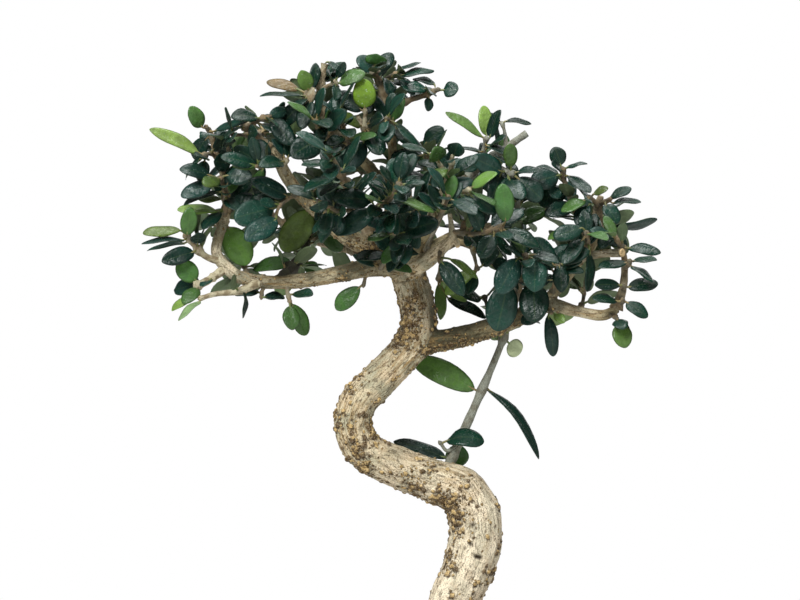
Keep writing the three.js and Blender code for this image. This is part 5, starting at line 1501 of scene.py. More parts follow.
@dataclass(frozen=True)
class BarkFinish(Finish):
    """Cream bark, buff in the trunk's bends and grey-brown on the limbs, with cracks and corky warts."""

    cream: Colour = srgb(0.96, 0.91, 0.80)
    buff: Colour = srgb(0.80, 0.74, 0.61)
    pink: Colour = srgb(0.82, 0.73, 0.60)
    grey: Colour = srgb(0.66, 0.65, 0.55)
    tan: Colour = srgb(0.60, 0.49, 0.31)
    limb: Colour = srgb(0.62, 0.58, 0.45)
    limb_grey: Colour = srgb(0.25, 0.255, 0.185)
    ash: Colour = srgb(0.62, 0.61, 0.56)
    gold: Colour = srgb(0.78, 0.66, 0.43)
    brown: Colour = srgb(0.32, 0.235, 0.12)
    # The painted shadow in crevices, in pits and under warts.
    crevice_shade: Colour = srgb(0.13, 0.09, 0.05)
    cut: Colour = srgb(0.90, 0.78, 0.58)
    # The painted shade where the crown shades the wood.
    painted_shade: Colour = srgb(0.13, 0.145, 0.09)
    depth: float = 0.0009
    shine: float = 0.25
    blush_scale: float = 160.0
    patch_scale: float = 85.0
    streak_scale: float = 620.0
    crumb_scale: float = 1500.0
    crack_scale: float = 300.0
    crack_width: float = 0.016
    wart_scale: float = 620.0
    wart_bend: float = 0.0016
    bend_scale: float = 700.0
    along_grain: tuple = (1.0, 1.0, 0.16)
    along_cracks: tuple = (1.0, 1.0, 0.22)

    def material(self) -> Material:
        """Make the bark's material.

        Returns:
            The material.
        """
        nodes, shader, material = self.start("bark")
        place, straight = nodes.objects(), nodes.attribute("straight", "Vector")
        limb = nodes.attribute("limb")
        base = nodes.mixed(nodes.attribute("buff"), self.cream, self.buff)
        blush = nodes.ranged(nodes.clouds(place, self.blush_scale, 4.0), 0.45, 0.62, 0.0, 0.45)
        base = nodes.mixed(blush, base, self.pink)
        base = nodes.mixed(nodes.attribute("ash"), nodes.mixed(limb, base, self.limb), self.ash)
        patch = nodes.mixed(limb, self.grey, self.limb_grey)
        patches = nodes.ranged(nodes.math("ADD", nodes.attribute("buff"), limb), 0.0, 1.0, 0.42, 0.85)
        settings = {"Scale": self.patch_scale, "Patches": patches, "Specks": 0.5}
        base = self.mottled(nodes, place, (base, patch, self.tan), **settings)
        stretched = nodes.add("ShaderNodeMapping", {"Vector": straight, "Scale": self.along_grain})
        streaks = nodes.clouds(stretched, self.streak_scale, 5.0, 0.68)
        tanned = nodes.times(nodes.ranged(streaks, 0.48, 0.6), nodes.attribute("streak"))
        colour = nodes.mixed(tanned, base, self.tan)
        cracks = self.cracks(nodes, straight)
        colour = nodes.mixed(nodes.times(cracks, 0.65), colour, self.brown)
        # Painted shade: darker where the crown shades the wood.
        colour = nodes.mixed(nodes.attribute("painted_shade"), colour, self.painted_shade)
        small, ring, shade = self.small_warts(nodes, place)
        colour = nodes.mixed(small, colour, nodes.mixed(shade, self.brown, self.gold))
        # Painted shade in the gaps between the small warts.
        colour = nodes.mixed(ring, colour, self.crevice_shade)
        wart = nodes.attribute("wart")
        crumbs = nodes.clouds(place, self.crumb_scale, 4.0, 0.65)
        # A wart's cap follows its shade, which holds painted light: lighter above, browner below.
        cap = nodes.mixed(nodes.ranged(nodes.attribute("shade"), 0.22, 0.92), self.brown, self.gold)
        # Painted highlight: the caps turn creamier on the raised crumbs.
        cap = nodes.mixed(nodes.ranged(crumbs, 0.5, 0.68, 0.0, 0.35), cap, self.cream)
        colour = nodes.mixed(nodes.ranged(wart, 0.02, 0.2, 0.0, 0.9), colour, cap)
        # Painted shadow under and beside the warts, in the pits and in the scar's eye.
        colour = nodes.mixed(nodes.attribute("crevice_shade"), colour, self.crevice_shade)
        # Painted shade: browner in the hollows between the crumbs.
        hollow_shade = nodes.ranged(crumbs, 0.36, 0.5, 0.6, 0.0)
        colour = nodes.mixed(hollow_shade, colour, self.brown)
        colour = nodes.mixed(nodes.attribute("cut"), colour, self.cut)
        dullness = nodes.ranged(crumbs, 0.2, 0.8, 0.75, 0.95)
        relief = nodes.math("ADD", nodes.times(streaks, 1.3), nodes.times(crumbs, 0.9))
        relief = nodes.math("SUBTRACT", relief, nodes.times(cracks, 0.5))
        relief = nodes.math("ADD", relief, nodes.times(small, 1.2))
        inputs = {"Base Color": colour, "Roughness": dullness, "Normal": nodes.bumped(relief, self.depth)}
        nodes.feed_all(shader, {**inputs, "Specular IOR Level": self.shine})
        return material

    def cracks(self, nodes: Nodes, straight: object) -> NodeSocket:
        """Return where thin cracks run along a limb.

        Args:
            nodes: The material's nodes.
            straight: The places along straightened limbs.

        Returns:
            1 in a crack and 0 beside it.
        """
        stretched = nodes.add("ShaderNodeMapping", {"Vector": straight, "Scale": self.along_cracks})
        waves = nodes.clouds(stretched, self.crack_scale, 4.0, 0.6)
        gap = nodes.math("ABSOLUTE", nodes.math("SUBTRACT", waves, 0.5))
        return nodes.ranged(gap, 0.0, self.crack_width, 1.0, 0.0)

    def small_warts(self, nodes: Nodes, place: object) -> tuple:
        """Return where small warts are, the painted shade in the gaps between them, and each one's shade.

        Args:
            nodes: The material's nodes.
            place: The places on the object.

        Returns:
            The three outputs, each from 0 to 1.
        """
        bent = nodes.add("ShaderNodeVectorMath", {0: place, 1: self.bending(nodes, place)}, operation="ADD")
        cells = nodes.add("ShaderNodeTexVoronoi", {"Vector": bent, "Scale": self.wart_scale})
        chance = nodes.add("ShaderNodeSeparateColor", {"Color": cells.outputs["Color"]})
        rough = nodes.attribute("rough")
        grown = nodes.math("LESS_THAN", chance.outputs["Red"], rough)
        dome = nodes.ranged(cells.outputs["Distance"], 0.22, 0.5, 1.0, 0.0)
        # The gaps between the cells, where shade is painted.
        ring = nodes.ranged(cells.outputs["Distance"], 0.48, 0.72)
        dark = nodes.times(ring, nodes.ranged(rough, 0.3, 0.85, 0.0, 0.9))
        return nodes.times(dome, grown), dark, chance.outputs["Green"]

    def bending(self, nodes: Nodes, place: object) -> NodeSocket:
        """Return a small offset that keeps the warts from lying in even cells.

        Args:
            nodes: The material's nodes.
            place: The places on the object.

        Returns:
            The offset.
        """
        cloud = nodes.add("ShaderNodeTexNoise", {"Vector": place, "Scale": self.bend_scale, "Detail": 2.0})
        inputs = {0: cloud.outputs["Color"], 1: (0.5, 0.5, 0.5)}
        centred = nodes.add("ShaderNodeVectorMath", inputs, operation="SUBTRACT")
        inputs = {0: centred, "Scale": self.wart_bend}
        return nodes.add("ShaderNodeVectorMath", inputs, operation="SCALE").outputs[0]


@dataclass(frozen=True)
class TwigFinish(Finish):
    """Smooth bark of a young twig, paler the thicker it is, grey on a straight shoot and darkened as painted
    shade on shaded sprays, with dark specks.
    """

    grey: Colour = srgb(0.36, 0.34, 0.27)
    tan: Colour = srgb(0.47, 0.40, 0.29)
    dark: Colour = srgb(0.17, 0.15, 0.11)
    beige: Colour = srgb(0.58, 0.53, 0.42)
    umber: Colour = srgb(0.43, 0.36, 0.25)
    pale: Colour = srgb(0.50, 0.51, 0.46)
    shaded: Colour = srgb(0.41, 0.40, 0.34)
    cream: Colour = srgb(0.76, 0.73, 0.61)
    ochre: Colour = srgb(0.47, 0.42, 0.31)
    shaded_twig: Colour = srgb(0.22, 0.22, 0.15)

    def material(self) -> Material:
        """Make the twigs' material.

        Returns:
            The material.
        """
        nodes, shader, material = self.start("twig_bark")
        place = nodes.objects()
        thick, straight = nodes.attribute("thick"), nodes.attribute("shoot")
        base = nodes.mixed(straight, nodes.mixed(thick, self.grey, self.beige), self.pale)
        patch = nodes.mixed(straight, nodes.mixed(thick, self.tan, self.umber), self.shaded)
        fresh, shade = nodes.attribute("fresh"), nodes.attribute("shaded")
        # Painted shade: the twigs of a spray that lies in the crown's shade are darkened.
        base = nodes.mixed(shade, nodes.mixed(fresh, base, self.cream), self.shaded_twig)
        patch = nodes.mixed(shade, nodes.mixed(fresh, patch, self.ochre), self.dark)
        colour = self.mottled(nodes, place, (base, patch, self.dark), Scale=270.0, Patches=0.95, Specks=0.75)
        grain = self.grained(nodes, place, scale=1100.0, depth=0.0009)
        nodes.feed_all(shader, {"Base Color": colour, "Roughness": 0.75, "Normal": grain})
        return material


@dataclass(frozen=True)
class LeafFinish(Finish):
    """A leathery leaf: glossy above with a faint midrib, a thin dark rim, specks of lime and patches of bloom
    with painted sheen, dull beneath.
    """

    beneath: Colour = srgb(0.44, 0.50, 0.35)
    rib: Colour = srgb(0.50, 0.58, 0.34)
    bloom_and_sheen: Colour = srgb(0.26, 0.42, 0.38)
    black: Colour = (0.0, 0.0, 0.0, 1.0)
    chalk: Colour = srgb(0.66, 0.72, 0.68)
    depth: float = 0.0005
    shine: float = 0.24
    mottle_scale: float = 260.0
    bloom_and_sheen_scale: float = 95.0
    dust_scale: float = 900.0
    dusty_scale: float = 22.0
    relief_scale: float = 420.0
    veins_along: float = 62.0
    vein_slant: float = 0.22

    def material(self) -> Material:
        """Make the leaves' material.

        Returns:
            The material.
        """
        nodes, shader, material = self.start("leaf")
        place = nodes.objects()
        blade = nodes.add("ShaderNodeSeparateXYZ", {"Vector": nodes.attribute("blade", "Vector")})
        tone, under = nodes.attribute("tone", "Color"), nodes.attribute("under")
        from_rib = nodes.math("ABSOLUTE", blade.outputs["X"])
        mottling = nodes.clouds(place, self.mottle_scale, 4.0)
        lit = nodes.mixed(nodes.ranged(mottling, 0.35, 0.65, 0.0, 0.28), tone, self.black)
        # Patches of grey-teal, partly the waxy bloom and partly painted sheen.
        bloom_and_sheen_share = nodes.ranged(nodes.clouds(place, self.bloom_and_sheen_scale), 0.5, 0.68, 0.0, 0.06)
        lit = nodes.mixed(bloom_and_sheen_share, lit, self.bloom_and_sheen)
        rib = nodes.times(nodes.ranged(from_rib, 0.015, 0.085, 1.0, 0.0), 0.06)
        veins = self.veins(nodes, blade.outputs["Y"], from_rib)
        upper = nodes.mixed(nodes.math("ADD", rib, nodes.times(veins, 0.012)), lit, self.rib)
        rim = nodes.times(nodes.ranged(from_rib, 0.86, 0.99), 0.6)
        upper = nodes.mixed(rim, upper, nodes.mixed(0.8, tone, self.black))
        dusty = nodes.ranged(nodes.clouds(place, self.dusty_scale, 2.0), 0.48, 0.62, 0.0, 0.5)
        dust = nodes.ranged(nodes.clouds(place, self.dust_scale, 3.0, 0.7), 0.63, 0.7)
        upper = nodes.mixed(nodes.times(dust, dusty), upper, self.chalk)
        lower = nodes.mixed(0.5, self.beneath, tone)
        lower = nodes.mixed(nodes.times(rib, 1.5), lower, self.rib)
        gloss = nodes.ranged(mottling, 0.35, 0.7, 0.24, 0.5)
        dullness = nodes.math("ADD", gloss, nodes.times(under, 0.25))
        height = nodes.math("ADD", nodes.times(veins, 0.05), nodes.clouds(place, self.relief_scale))
        inputs = {"Base Color": nodes.mixed(under, upper, lower), "Roughness": dullness}
        inputs["Normal"] = nodes.bumped(height, self.depth)
        nodes.feed_all(shader, {**inputs, "Specular IOR Level": self.shine})
        return material

    def veins(self, nodes: Nodes, along: object, from_rib: object) -> NodeSocket:
        """Return where the side veins run, slanting from the midrib towards the tip.

        Args:
            nodes: The material's nodes.
            along: From 0 at the base to 1 at the tip.
            from_rib: From 0 to 1 at the edge.

        Returns:
            1 on a vein and 0 between two.
        """
        slanted = nodes.math("SUBTRACT", along, nodes.times(from_rib, self.vein_slant))
        wave = nodes.math("SINE", nodes.times(slanted, self.veins_along))
        return nodes.ranged(wave, 0.78, 1.0)


@dataclass(frozen=True)
class StalkFinish(Finish):
    """The soft skin of a leaf's stalk, green with a tan cast."""

    green: Colour = srgb(0.33, 0.38, 0.18)
    tan: Colour = srgb(0.45, 0.38, 0.24)

    def material(self) -> Material:
        """Make the stalks' material.

        Returns:
            The material.
        """
        nodes, shader, material = self.start("leaf_stalk")
        colours = (self.green, self.tan, self.tan)
        colour = self.mottled(nodes, nodes.objects(), colours, Scale=60.0, Patches=0.9, Specks=0.3)
        nodes.feed_all(shader, {"Base Color": colour, "Roughness": 0.55})
        return material


@dataclass(frozen=True)
class ClayFinish(Finish):
    """Unglazed stoneware: brown with redder patches, darkly speckled and matte."""

    brown: Colour = srgb(0.42, 0.27, 0.20)
    red: Colour = srgb(0.49, 0.31, 0.22)
    speck: Colour = srgb(0.16, 0.10, 0.08)

    def material(self) -> Material:
        """Make the pot's material.

        Returns:
            The material.
        """
        nodes, shader, material = self.start("pot_clay")
        place = nodes.objects()
        colours = (self.brown, self.red, self.speck)
        colour = self.mottled(nodes, place, colours, Scale=26.0, Patches=0.7, Specks=0.55)
        dullness = nodes.ranged(nodes.clouds(place, 45.0), 0.3, 0.7, 0.55, 0.78)
        grain = self.grained(nodes, place, scale=520.0, depth=0.00045)
        nodes.feed_all(shader, {"Base Color": colour, "Roughness": dullness, "Normal": grain})
        return material


@dataclass(frozen=True)
class SoilFinish(Finish):
    """Baked clay grains and bark crumbs, each grain with a shade of its own."""

    brown: Colour = srgb(0.36, 0.26, 0.19)
    tan: Colour = srgb(0.62, 0.47, 0.31)
    black: Colour = srgb(0.13, 0.10, 0.08)

    def material(self) -> Material:
        """Make the soil's material.

        Returns:
            The material.
        """
        nodes, shader, material = self.start("soil")
        place = nodes.objects()
        grain = nodes.attribute("grain")
        tinted = nodes.mixed(nodes.ranged(grain, 0.25, 0.9), self.brown, self.tan)
        tinted = nodes.mixed(nodes.ranged(grain, 0.0, 0.25, 0.7, 0.0), tinted, self.black)
        colours = (tinted, self.brown, self.black)
        colour = self.mottled(nodes, place, colours, Scale=130.0, Patches=0.4, Specks=0.5)
        bump = self.grained(nodes, place, scale=1300.0, depth=0.0006)
        nodes.feed_all(shader, {"Base Color": colour, "Roughness": 0.92, "Normal": bump})
        return material


# ------------------------------------------------------------------ the pot and its soil


@dataclass
class Pot:
    """The oval pot: a turned wall on four low feet, with two drainage holes. Millimetres."""

    length: float = 184.0
    width: float = 132.0
    height: float = 55.0
    floor: float = 13.0
    rim_height: float = 8.0
    rim_width: float = 10.0
    foot_height: float = 4.0
    foot_width: float = 10.0
    foot_gap: float = 34.0
    drain_radius: float = 6.0
    drain_spacing: float = 60.0
    foot_share: float = 0.74
    # The wall's rings, as shares of the rim's radius and of the height.
    outer_rings: tuple = ((0.835, 0.25), (0.9, 0.45), (0.94, 0.65))
    inner_ring: tuple = (0.8, 0.5)
    floor_share: float = 0.72
    sides: int = 96
    softness: float = 1.1

    @property
    def rim(self) -> float:
        """The rim's radius along the pot."""
        return self.length / 2

    @property
    def mouth(self) -> float:
        """The mouth's radius along the pot."""
        return self.rim - self.rim_width

    @property
    def shoulder(self) -> float:
        """The height of the rim's lower edge."""
        return self.height - self.rim_height

    @property
    def inside(self) -> tuple[tuple[float, float], ...]:
        """The inner wall's rings: under the mouth, half way down and at the floor.

        Returns:
            The radius and height of each, in millimetres.
        """
        out, up = self.inner_ring
        return (
            (self.mouth - 2, self.shoulder - 2),
            (self.rim * out, self.height * up),
            (self.rim * self.floor_share, self.floor),
        )

    def profile(self) -> list[tuple[float, float]]:
        """Return the wall's radius and height, from under the pot round to its floor inside.

        Returns:
            The rings, in millimetres.
        """
        foot = self.rim * self.foot_share
        return [
            (foot - self.foot_width, self.foot_height),
            (foot - self.foot_width, 0),
            (foot, 0),
            (foot + 2, self.foot_height + 1),
            *((self.rim * out, self.height * up) for out, up in self.outer_rings),
            (self.rim - 4, self.shoulder - 2),
            (self.rim, self.shoulder),
            (self.rim, self.height),
            (self.mouth, self.height),
            *self.inside,
        ]

    def build(self) -> Object:
        """Raise the wall from a circle, soften its edges, cut it through, and fire it.

        Returns:
            The pot.
        """
        pot = turned_oval("oval_pot", self.profile(), self.sides, self.width / self.length)
        apply_modifier(pot, "BEVEL", width=self.softness * MM, segments=3, angle_limit=math.radians(32))
        for cutter in (*self.gaps(), *self.drains()):
            apply_modifier(pot, "BOOLEAN", object=cutter, operation="DIFFERENCE", solver="EXACT")
            bpy.data.objects.remove(cutter)
        select_only(pot)
        bpy.ops.object.shade_smooth_by_angle(angle=math.radians(40))
        pot.data.materials.append(ClayFinish().material())
        return finished(pot, "pot_clay", "pot")

    def gaps(self) -> list[Object]:
        """Return the two bars that part the foot into four.

        Returns:
            The bars.
        """
        bars = []
        for length, width in ((self.length, self.foot_gap), (self.foot_gap, self.width)):
            deselect()
            scale = (length * MM, width * MM, self.foot_height * 2 * MM)
            bpy.ops.mesh.primitive_cube_add(size=1, scale=scale)
            bars.append(named("gap"))
        return bars

    def drains(self) -> list[Object]:
        """Return the two plugs that open the drainage holes.

        Returns:
            The plugs.
        """
        plugs = []
        for side in (-1, 1):
            deselect()
            bpy.ops.mesh.primitive_cylinder_add(
                vertices=40,
                radius=self.drain_radius * MM,
                depth=self.floor * 3 * MM,
                location=(side * self.drain_spacing / 2 * MM, 0, 0),
            )
            plugs.append(named("drain"))
        return plugs


def turned_oval(name: str, profile: Sequence[tuple], sides: int, shape: float) -> Object:
    """Raise a round body from a circle, ring by ring, and narrow it to an oval.

    Args:
        name: The piece's name.
        profile: The radius and height of each ring, in millimetres, from the lowest face to the highest.
        sides: How many sides a ring has.
        shape: The oval's width over its length.

    Returns:
        The closed body.
    """
    deselect()
    radius, height = profile[0]
    bpy.ops.mesh.primitive_circle_add(
        vertices=sides, radius=radius * MM, fill_type="NGON", location=(0, 0, height * MM)
    )
    body = named(name)
    bpy.ops.object.transform_apply(location=True)
    bpy.ops.object.mode_set(mode="EDIT")
    bpy.ops.mesh.select_mode(type="FACE")
    bpy.ops.mesh.select_all(action="SELECT")
    for next_radius, next_height in profile[1:]:
        rise = {"value": (0, 0, (next_height - height) * MM)}
        bpy.ops.mesh.extrude_region_move(TRANSFORM_OT_translate=rise)
        share = next_radius / radius
        bpy.ops.transform.resize(value=(share, share, 1), center_override=(0, 0, next_height * MM))
        radius, height = next_radius, next_height
    bpy.ops.mesh.select_all(action="SELECT")
    bpy.ops.transform.resize(value=(1, shape, 1), center_override=(0, 0, 0))
    bpy.ops.mesh.normals_make_consistent(inside=False)
    bpy.ops.object.mode_set(mode="OBJECT")
    return body


@dataclass
class Soil:
    """Gritty soil that fills the pot to just under its rim. Millimetres."""

    pot: Pot
    edge: float = 51.0
    top: float = 53.5
    gap: float = 0.35
    sides: int = 72
    grains: int = 2300
    smallest: float = 0.7
    largest: float = 2.1
    trunk_room: float = 15.5

    def build(self, wood: Bark) -> Object:
        """Fill the pot and strew its grains.

        Args:
            wood: The wood's spots, which the grains stay out of.

        Returns:
            The soil.
        """
        pot, gap = self.pot, self.gap * 1.5
        shape = pot.width / pot.length
        (neck, neck_height), (middle, middle_height), (bottom, floor) = pot.inside
        edge = neck + 2 * (self.edge - neck_height) / (pot.rim_height + 2)
        profile = [
            (bottom - gap, floor + self.gap),
            (middle - gap, middle_height),
            (neck - gap, neck_height),
            (edge - gap, self.edge),
            (pot.rim * 0.6, lerp(self.edge, self.top, 0.7)),
            (pot.rim * 0.3, lerp(self.edge, self.top, 0.92)),
        ]
        body = turned_oval("potting_soil", profile, self.sides, shape)
        put_attribute(body.data, "grain", np.full(len(body.data.vertices), 0.1))
        chance = np.random.default_rng(SEED)
        stem = wood.spots[np.argmin(np.abs(wood.spots[:, 2] - self.top))]
        grain_mesh = self.grain()
        strewn = self.strewn(chance, edge - gap, shape, stem)
        grains = copies(grain_mesh, "grains", strewn, chance)
        soil = joined([body, grains])
        soil.data.materials.append(SoilFinish().material())
        return finished(soil, "soil", "soil")

    def grain(self) -> Mesh:
        """Model one grain: a small ball with uneven sides.

        Returns:
            The grain's mesh, about 1 in radius.
        """
        deselect()
        bpy.ops.mesh.primitive_ico_sphere_add(subdivisions=1, radius=1)
        ball = named("grain")
        places = places_of(ball.data)
        lumps = np.array([1 + 0.35 * noise.noise(Vector(place) * 1.3) for place in places])
        move_places(ball.data, places * lumps[:, None])
        mesh = ball.data
        bpy.data.objects.remove(ball)
        return mesh

    def strewn(self, chance: Chance, reach: float, shape: float, stem: Point) -> list[tuple]:
        """Return where the grains lie, and how large they are, in millimetres.

        Args:
            chance: The seeded generator.
            reach: The soil's radius along the pot.
            shape: The oval's width over its length.
            stem: The trunk's middle at the soil's top.

        Returns:
            Each grain's place and size.
        """
        found = []
        while len(found) < self.grains:
            out = (reach - 1.2) * math.sqrt(chance.random())
            angle = 2 * math.pi * chance.random()
            place = np.array((out * math.cos(angle), out * math.sin(angle) * shape))
            size = lerp(self.smallest, self.largest, chance.random() ** 1.8)
            if np.linalg.norm(place - stem[:2]) < self.trunk_room:
                continue
            height = lerp(self.top, self.edge, (out / reach) ** 2) + size * 0.15
            found.append(((*place, height), size))
        return found


# How flat or long a copy may be along each of its axes.
GRAIN_SHAPES = (0.7, 1.15)


def copies(master: Mesh, name: str, places: Sequence[tuple], chance: Chance) -> Object:
    """Strew copies of a small mesh, each turned, squashed and shaded by chance.

    Args:
        master: The mesh that is copied, about 1 across.
        name: The new object's name.
        places: Where each copy lies and how large it is, in millimetres.
        chance: The seeded generator.

    Returns:
        One object that holds them all.
    """
    shape = places_of(master)
    faces = [tuple(face.vertices) for face in master.polygons]
    rows, corners, shades = [], [], []
    for place, size in places:
        turn = np.linalg.qr(chance.normal(size=(3, 3)))[0]
        turn *= np.sign(np.linalg.det(turn))
        squash = size * chance.uniform(*GRAIN_SHAPES, 3)
        first = len(rows) * len(shape)
        corners += [tuple(first + corner for corner in face) for face in faces]
        rows.append((shape * squash) @ turn.T + np.array(place))
        shades.append(np.full(len(shape), chance.random()))
    mesh = bpy.data.meshes.new(name)
    mesh.from_pydata(np.concatenate(rows) * MM, [], corners)
    put_attribute(mesh, "grain", np.concatenate(shades))
    return linked(name, mesh)


# ------------------------------------------------------------------ the wood


@dataclass(frozen=True)
class Patch:
    """A place on the wood, in millimetres, with how far it reaches and how strong it is."""

    x: float
    z: float
    reach: float
    strength: float

    def felt(self, places: Array) -> Array:
        """Return how strongly each place feels the patch, from either side of the tree."""
        gaps = np.hypot(places[:, 0] - self.x, places[:, 2] - self.z)
        return self.strength * np.exp(-((gaps / self.reach) ** 2))


# Where the bark is warty.
WARTY = (
    Patch(5.5, 228, 8, 1.0), Patch(2, 219.5, 6, 0.9), Patch(-2, 213.5, 5, 0.6), Patch(13, 211, 5, 0.6),
    Patch(4.5, 239, 6, 0.5), Patch(27, 129.5, 6, 1.5), Patch(19.5, 137.5, 5.5, 1.2), Patch(7, 144, 5, 0.8),
    Patch(-18, 157, 6.5, 1.2), Patch(-25, 167, 5, 0.6), Patch(-31.5, 177, 4, 0.9), Patch(-28, 192, 5, 0.6),
    Patch(-21.5, 200, 4, 0.5), Patch(-13, 174, 4.5, 1.2), Patch(13.5, 155, 4.5, 0.6), Patch(2, 150, 5, 0.7),
    Patch(29.5, 147, 5, 0.5), Patch(33, 137, 4, 0.4), Patch(23.5, 109.5, 3.5, 0.9), Patch(23, 102, 3, 0.8),
    Patch(26, 89, 3.5, 0.7), Patch(46.5, 100.5, 4, 1.0), Patch(37, 94.5, 2.5, 0.7),
    Patch(49.5, 134.5, 3, 0.6), Patch(49.5, 112, 2.5, 0.8), Patch(22, 213, 5, 1.0), Patch(32, 215.5, 4, 1.0),
    Patch(42, 219, 4, 0.9), Patch(52, 222, 4, 0.7), Patch(-30, 247, 5, 0.5), Patch(-50, 243.5, 5, 0.5),
    Patch(-70, 243, 5, 0.6), Patch(-10.5, 264.5, 9, 0.9), Patch(-28, 266, 6, 0.8), Patch(-38, 275, 5, 0.7),
    Patch(-47, 284, 4.5, 0.6), Patch(-3, 274, 5, 0.6),
)
# Where the crown's shade is painted on the wood, with small pits, a healed scar, and ash-grey limbs.
CROWN_SHADE = (
    Patch(19, 225, 7, 1.0), Patch(31, 224.5, 8, 1.0), Patch(45, 229, 8, 1.0), Patch(59, 234, 7, 0.9),
    Patch(16, 243, 7, 0.7), Patch(17.5, 232, 6, 0.7), Patch(-10, 189, 7, 0.25), Patch(-3, 158, 6, 0.3),
    Patch(-25, 254, 6, 0.5), Patch(-45, 250, 6, 0.4), Patch(-62, 249, 6, 0.3), Patch(-22, 272, 8, 0.35),
)
PITS = (Patch(35.5, 125, 1.3, 0.9), Patch(34.5, 115.5, 1.2, 0.9), Patch(31.5, 113.5, 0.9, 0.7))
SCARS = (Patch(38.5, 109, 3.4, 1.0),)
ASHEN = {"grey": 0.8, "left": 0.15, "right_stub": 0.4}
# Where the limbs are as pale as the trunk, and which limbs are by what share.
PALE_BARK = (
    Patch(-88, 252, 8, 0.75), Patch(-92, 262, 7, 0.7), Patch(-90, 273, 6, 0.4), Patch(-74, 246, 6, 0.35),
    Patch(80, 234, 7, 0.55), Patch(92, 231.5, 7, 0.6),
)
BARE = {
    "left": 0.1, "left_fork": 0.3, "upper_left": 0.15, "pale_fork": 0.7, "pale_fork_tip": 0.8,
    "front_right": 0.6, "front_hook": 0.9, "right_stub": 0.35, "right_upper": 0.1,
}
# Limbs with a sawn end, straight shoots, sprays with fresh wood or with painted shade, and where the trunk is
# slim.
SAWN = ("right_stub", "front_hook", "pale_fork_tip", "left_fork")
SHOOTS = ("water_shoot", "centre_grey")
FRESH = {
    "left_low": 0.7, "left_pale": 0.65, "left_end": 0.5, "centre_crest": 0.8, "crown_young": 0.8,
    "crown_left": 0.4, "upper_left_knot": 0.4, "left_hanging_pair": 0.3,
}
SHADED = ("left_shaded", "right_shaded")
SLIM = (Patch(-33, 178, 13, 0.7),)


class Limbs:
    """The wood's limbs as straightened out, to tell where on a limb a place lies."""

    def __init__(self, routes: Sequence[Route]) -> None:
        """Sample the frames of all the routes.

        Args:
            routes: The limbs' lines, the trunk's first.
        """
        frames = []
        for number, route in enumerate(routes):
            shares = np.linspace(0, 1, route.pieces * SPOTS_PER_PIECE + 1)
            run = np.concatenate([[0], np.cumsum(np.linalg.norm(np.diff(route.spots, axis=0), axis=1))])
            tangents = np.array([route.tangent(share) for share in shares])
            sides = np.array([route.side(share) for share in shares])
            bends = np.gradient(tangents, run, axis=0)
            radii = route.spot_radii
            numbers = np.full(len(radii), number)
            frames.append((route.spots, radii, run, tangents, sides, bends, numbers))
        columns = [np.concatenate(column) for column in zip(*frames)]
        self.spots, self.radii, self.runs, self.tangents, self.sides, self.bends, self.numbers = columns
        self.across = np.cross(self.sides, self.tangents)

    def nearest(self, places: Array, candidates: int = 10) -> Array:
        """Return for each place the spot whose limb's surface is nearest to it.

        Args:
            places: The places.
            candidates: How many of the nearest spots are compared.

        Returns:
            The row of each place's spot.
        """
        tree = tree_of(self.spots)
        found = np.empty(len(places), int)
        for row, place in enumerate(places):
            near = tree.find_n(place, candidates)
            found[row] = min(near, key=lambda hit: hit[2] - self.radii[hit[1]])[1]
        return found

    def straightened(self, places: Array, spots: Array) -> Array:
        """Return each place as two distances across its limb and one along it.

        Args:
            places: The places.
            spots: The spot of each.

        Returns:
            The rows.
        """
        offset = places - self.spots[spots]
        return np.column_stack([
            np.einsum("ij,ij->i", offset, self.sides[spots]),
            np.einsum("ij,ij->i", offset, self.across[spots]),
            np.einsum("ij,ij->i", offset, self.tangents[spots]) + self.runs[spots],
        ])


def felt(patches: Sequence[Patch], places: Array) -> Array:
    """Return how strongly each place feels the patches in all."""
    return sum(patch.felt(places) for patch in patches)


def noise_at(places: Array, scale: float) -> Array:
    """Return smooth noise between about -1 and 1, with features as large as the scale."""
    return np.array([noise.noise(Vector(place)) for place in places / scale])


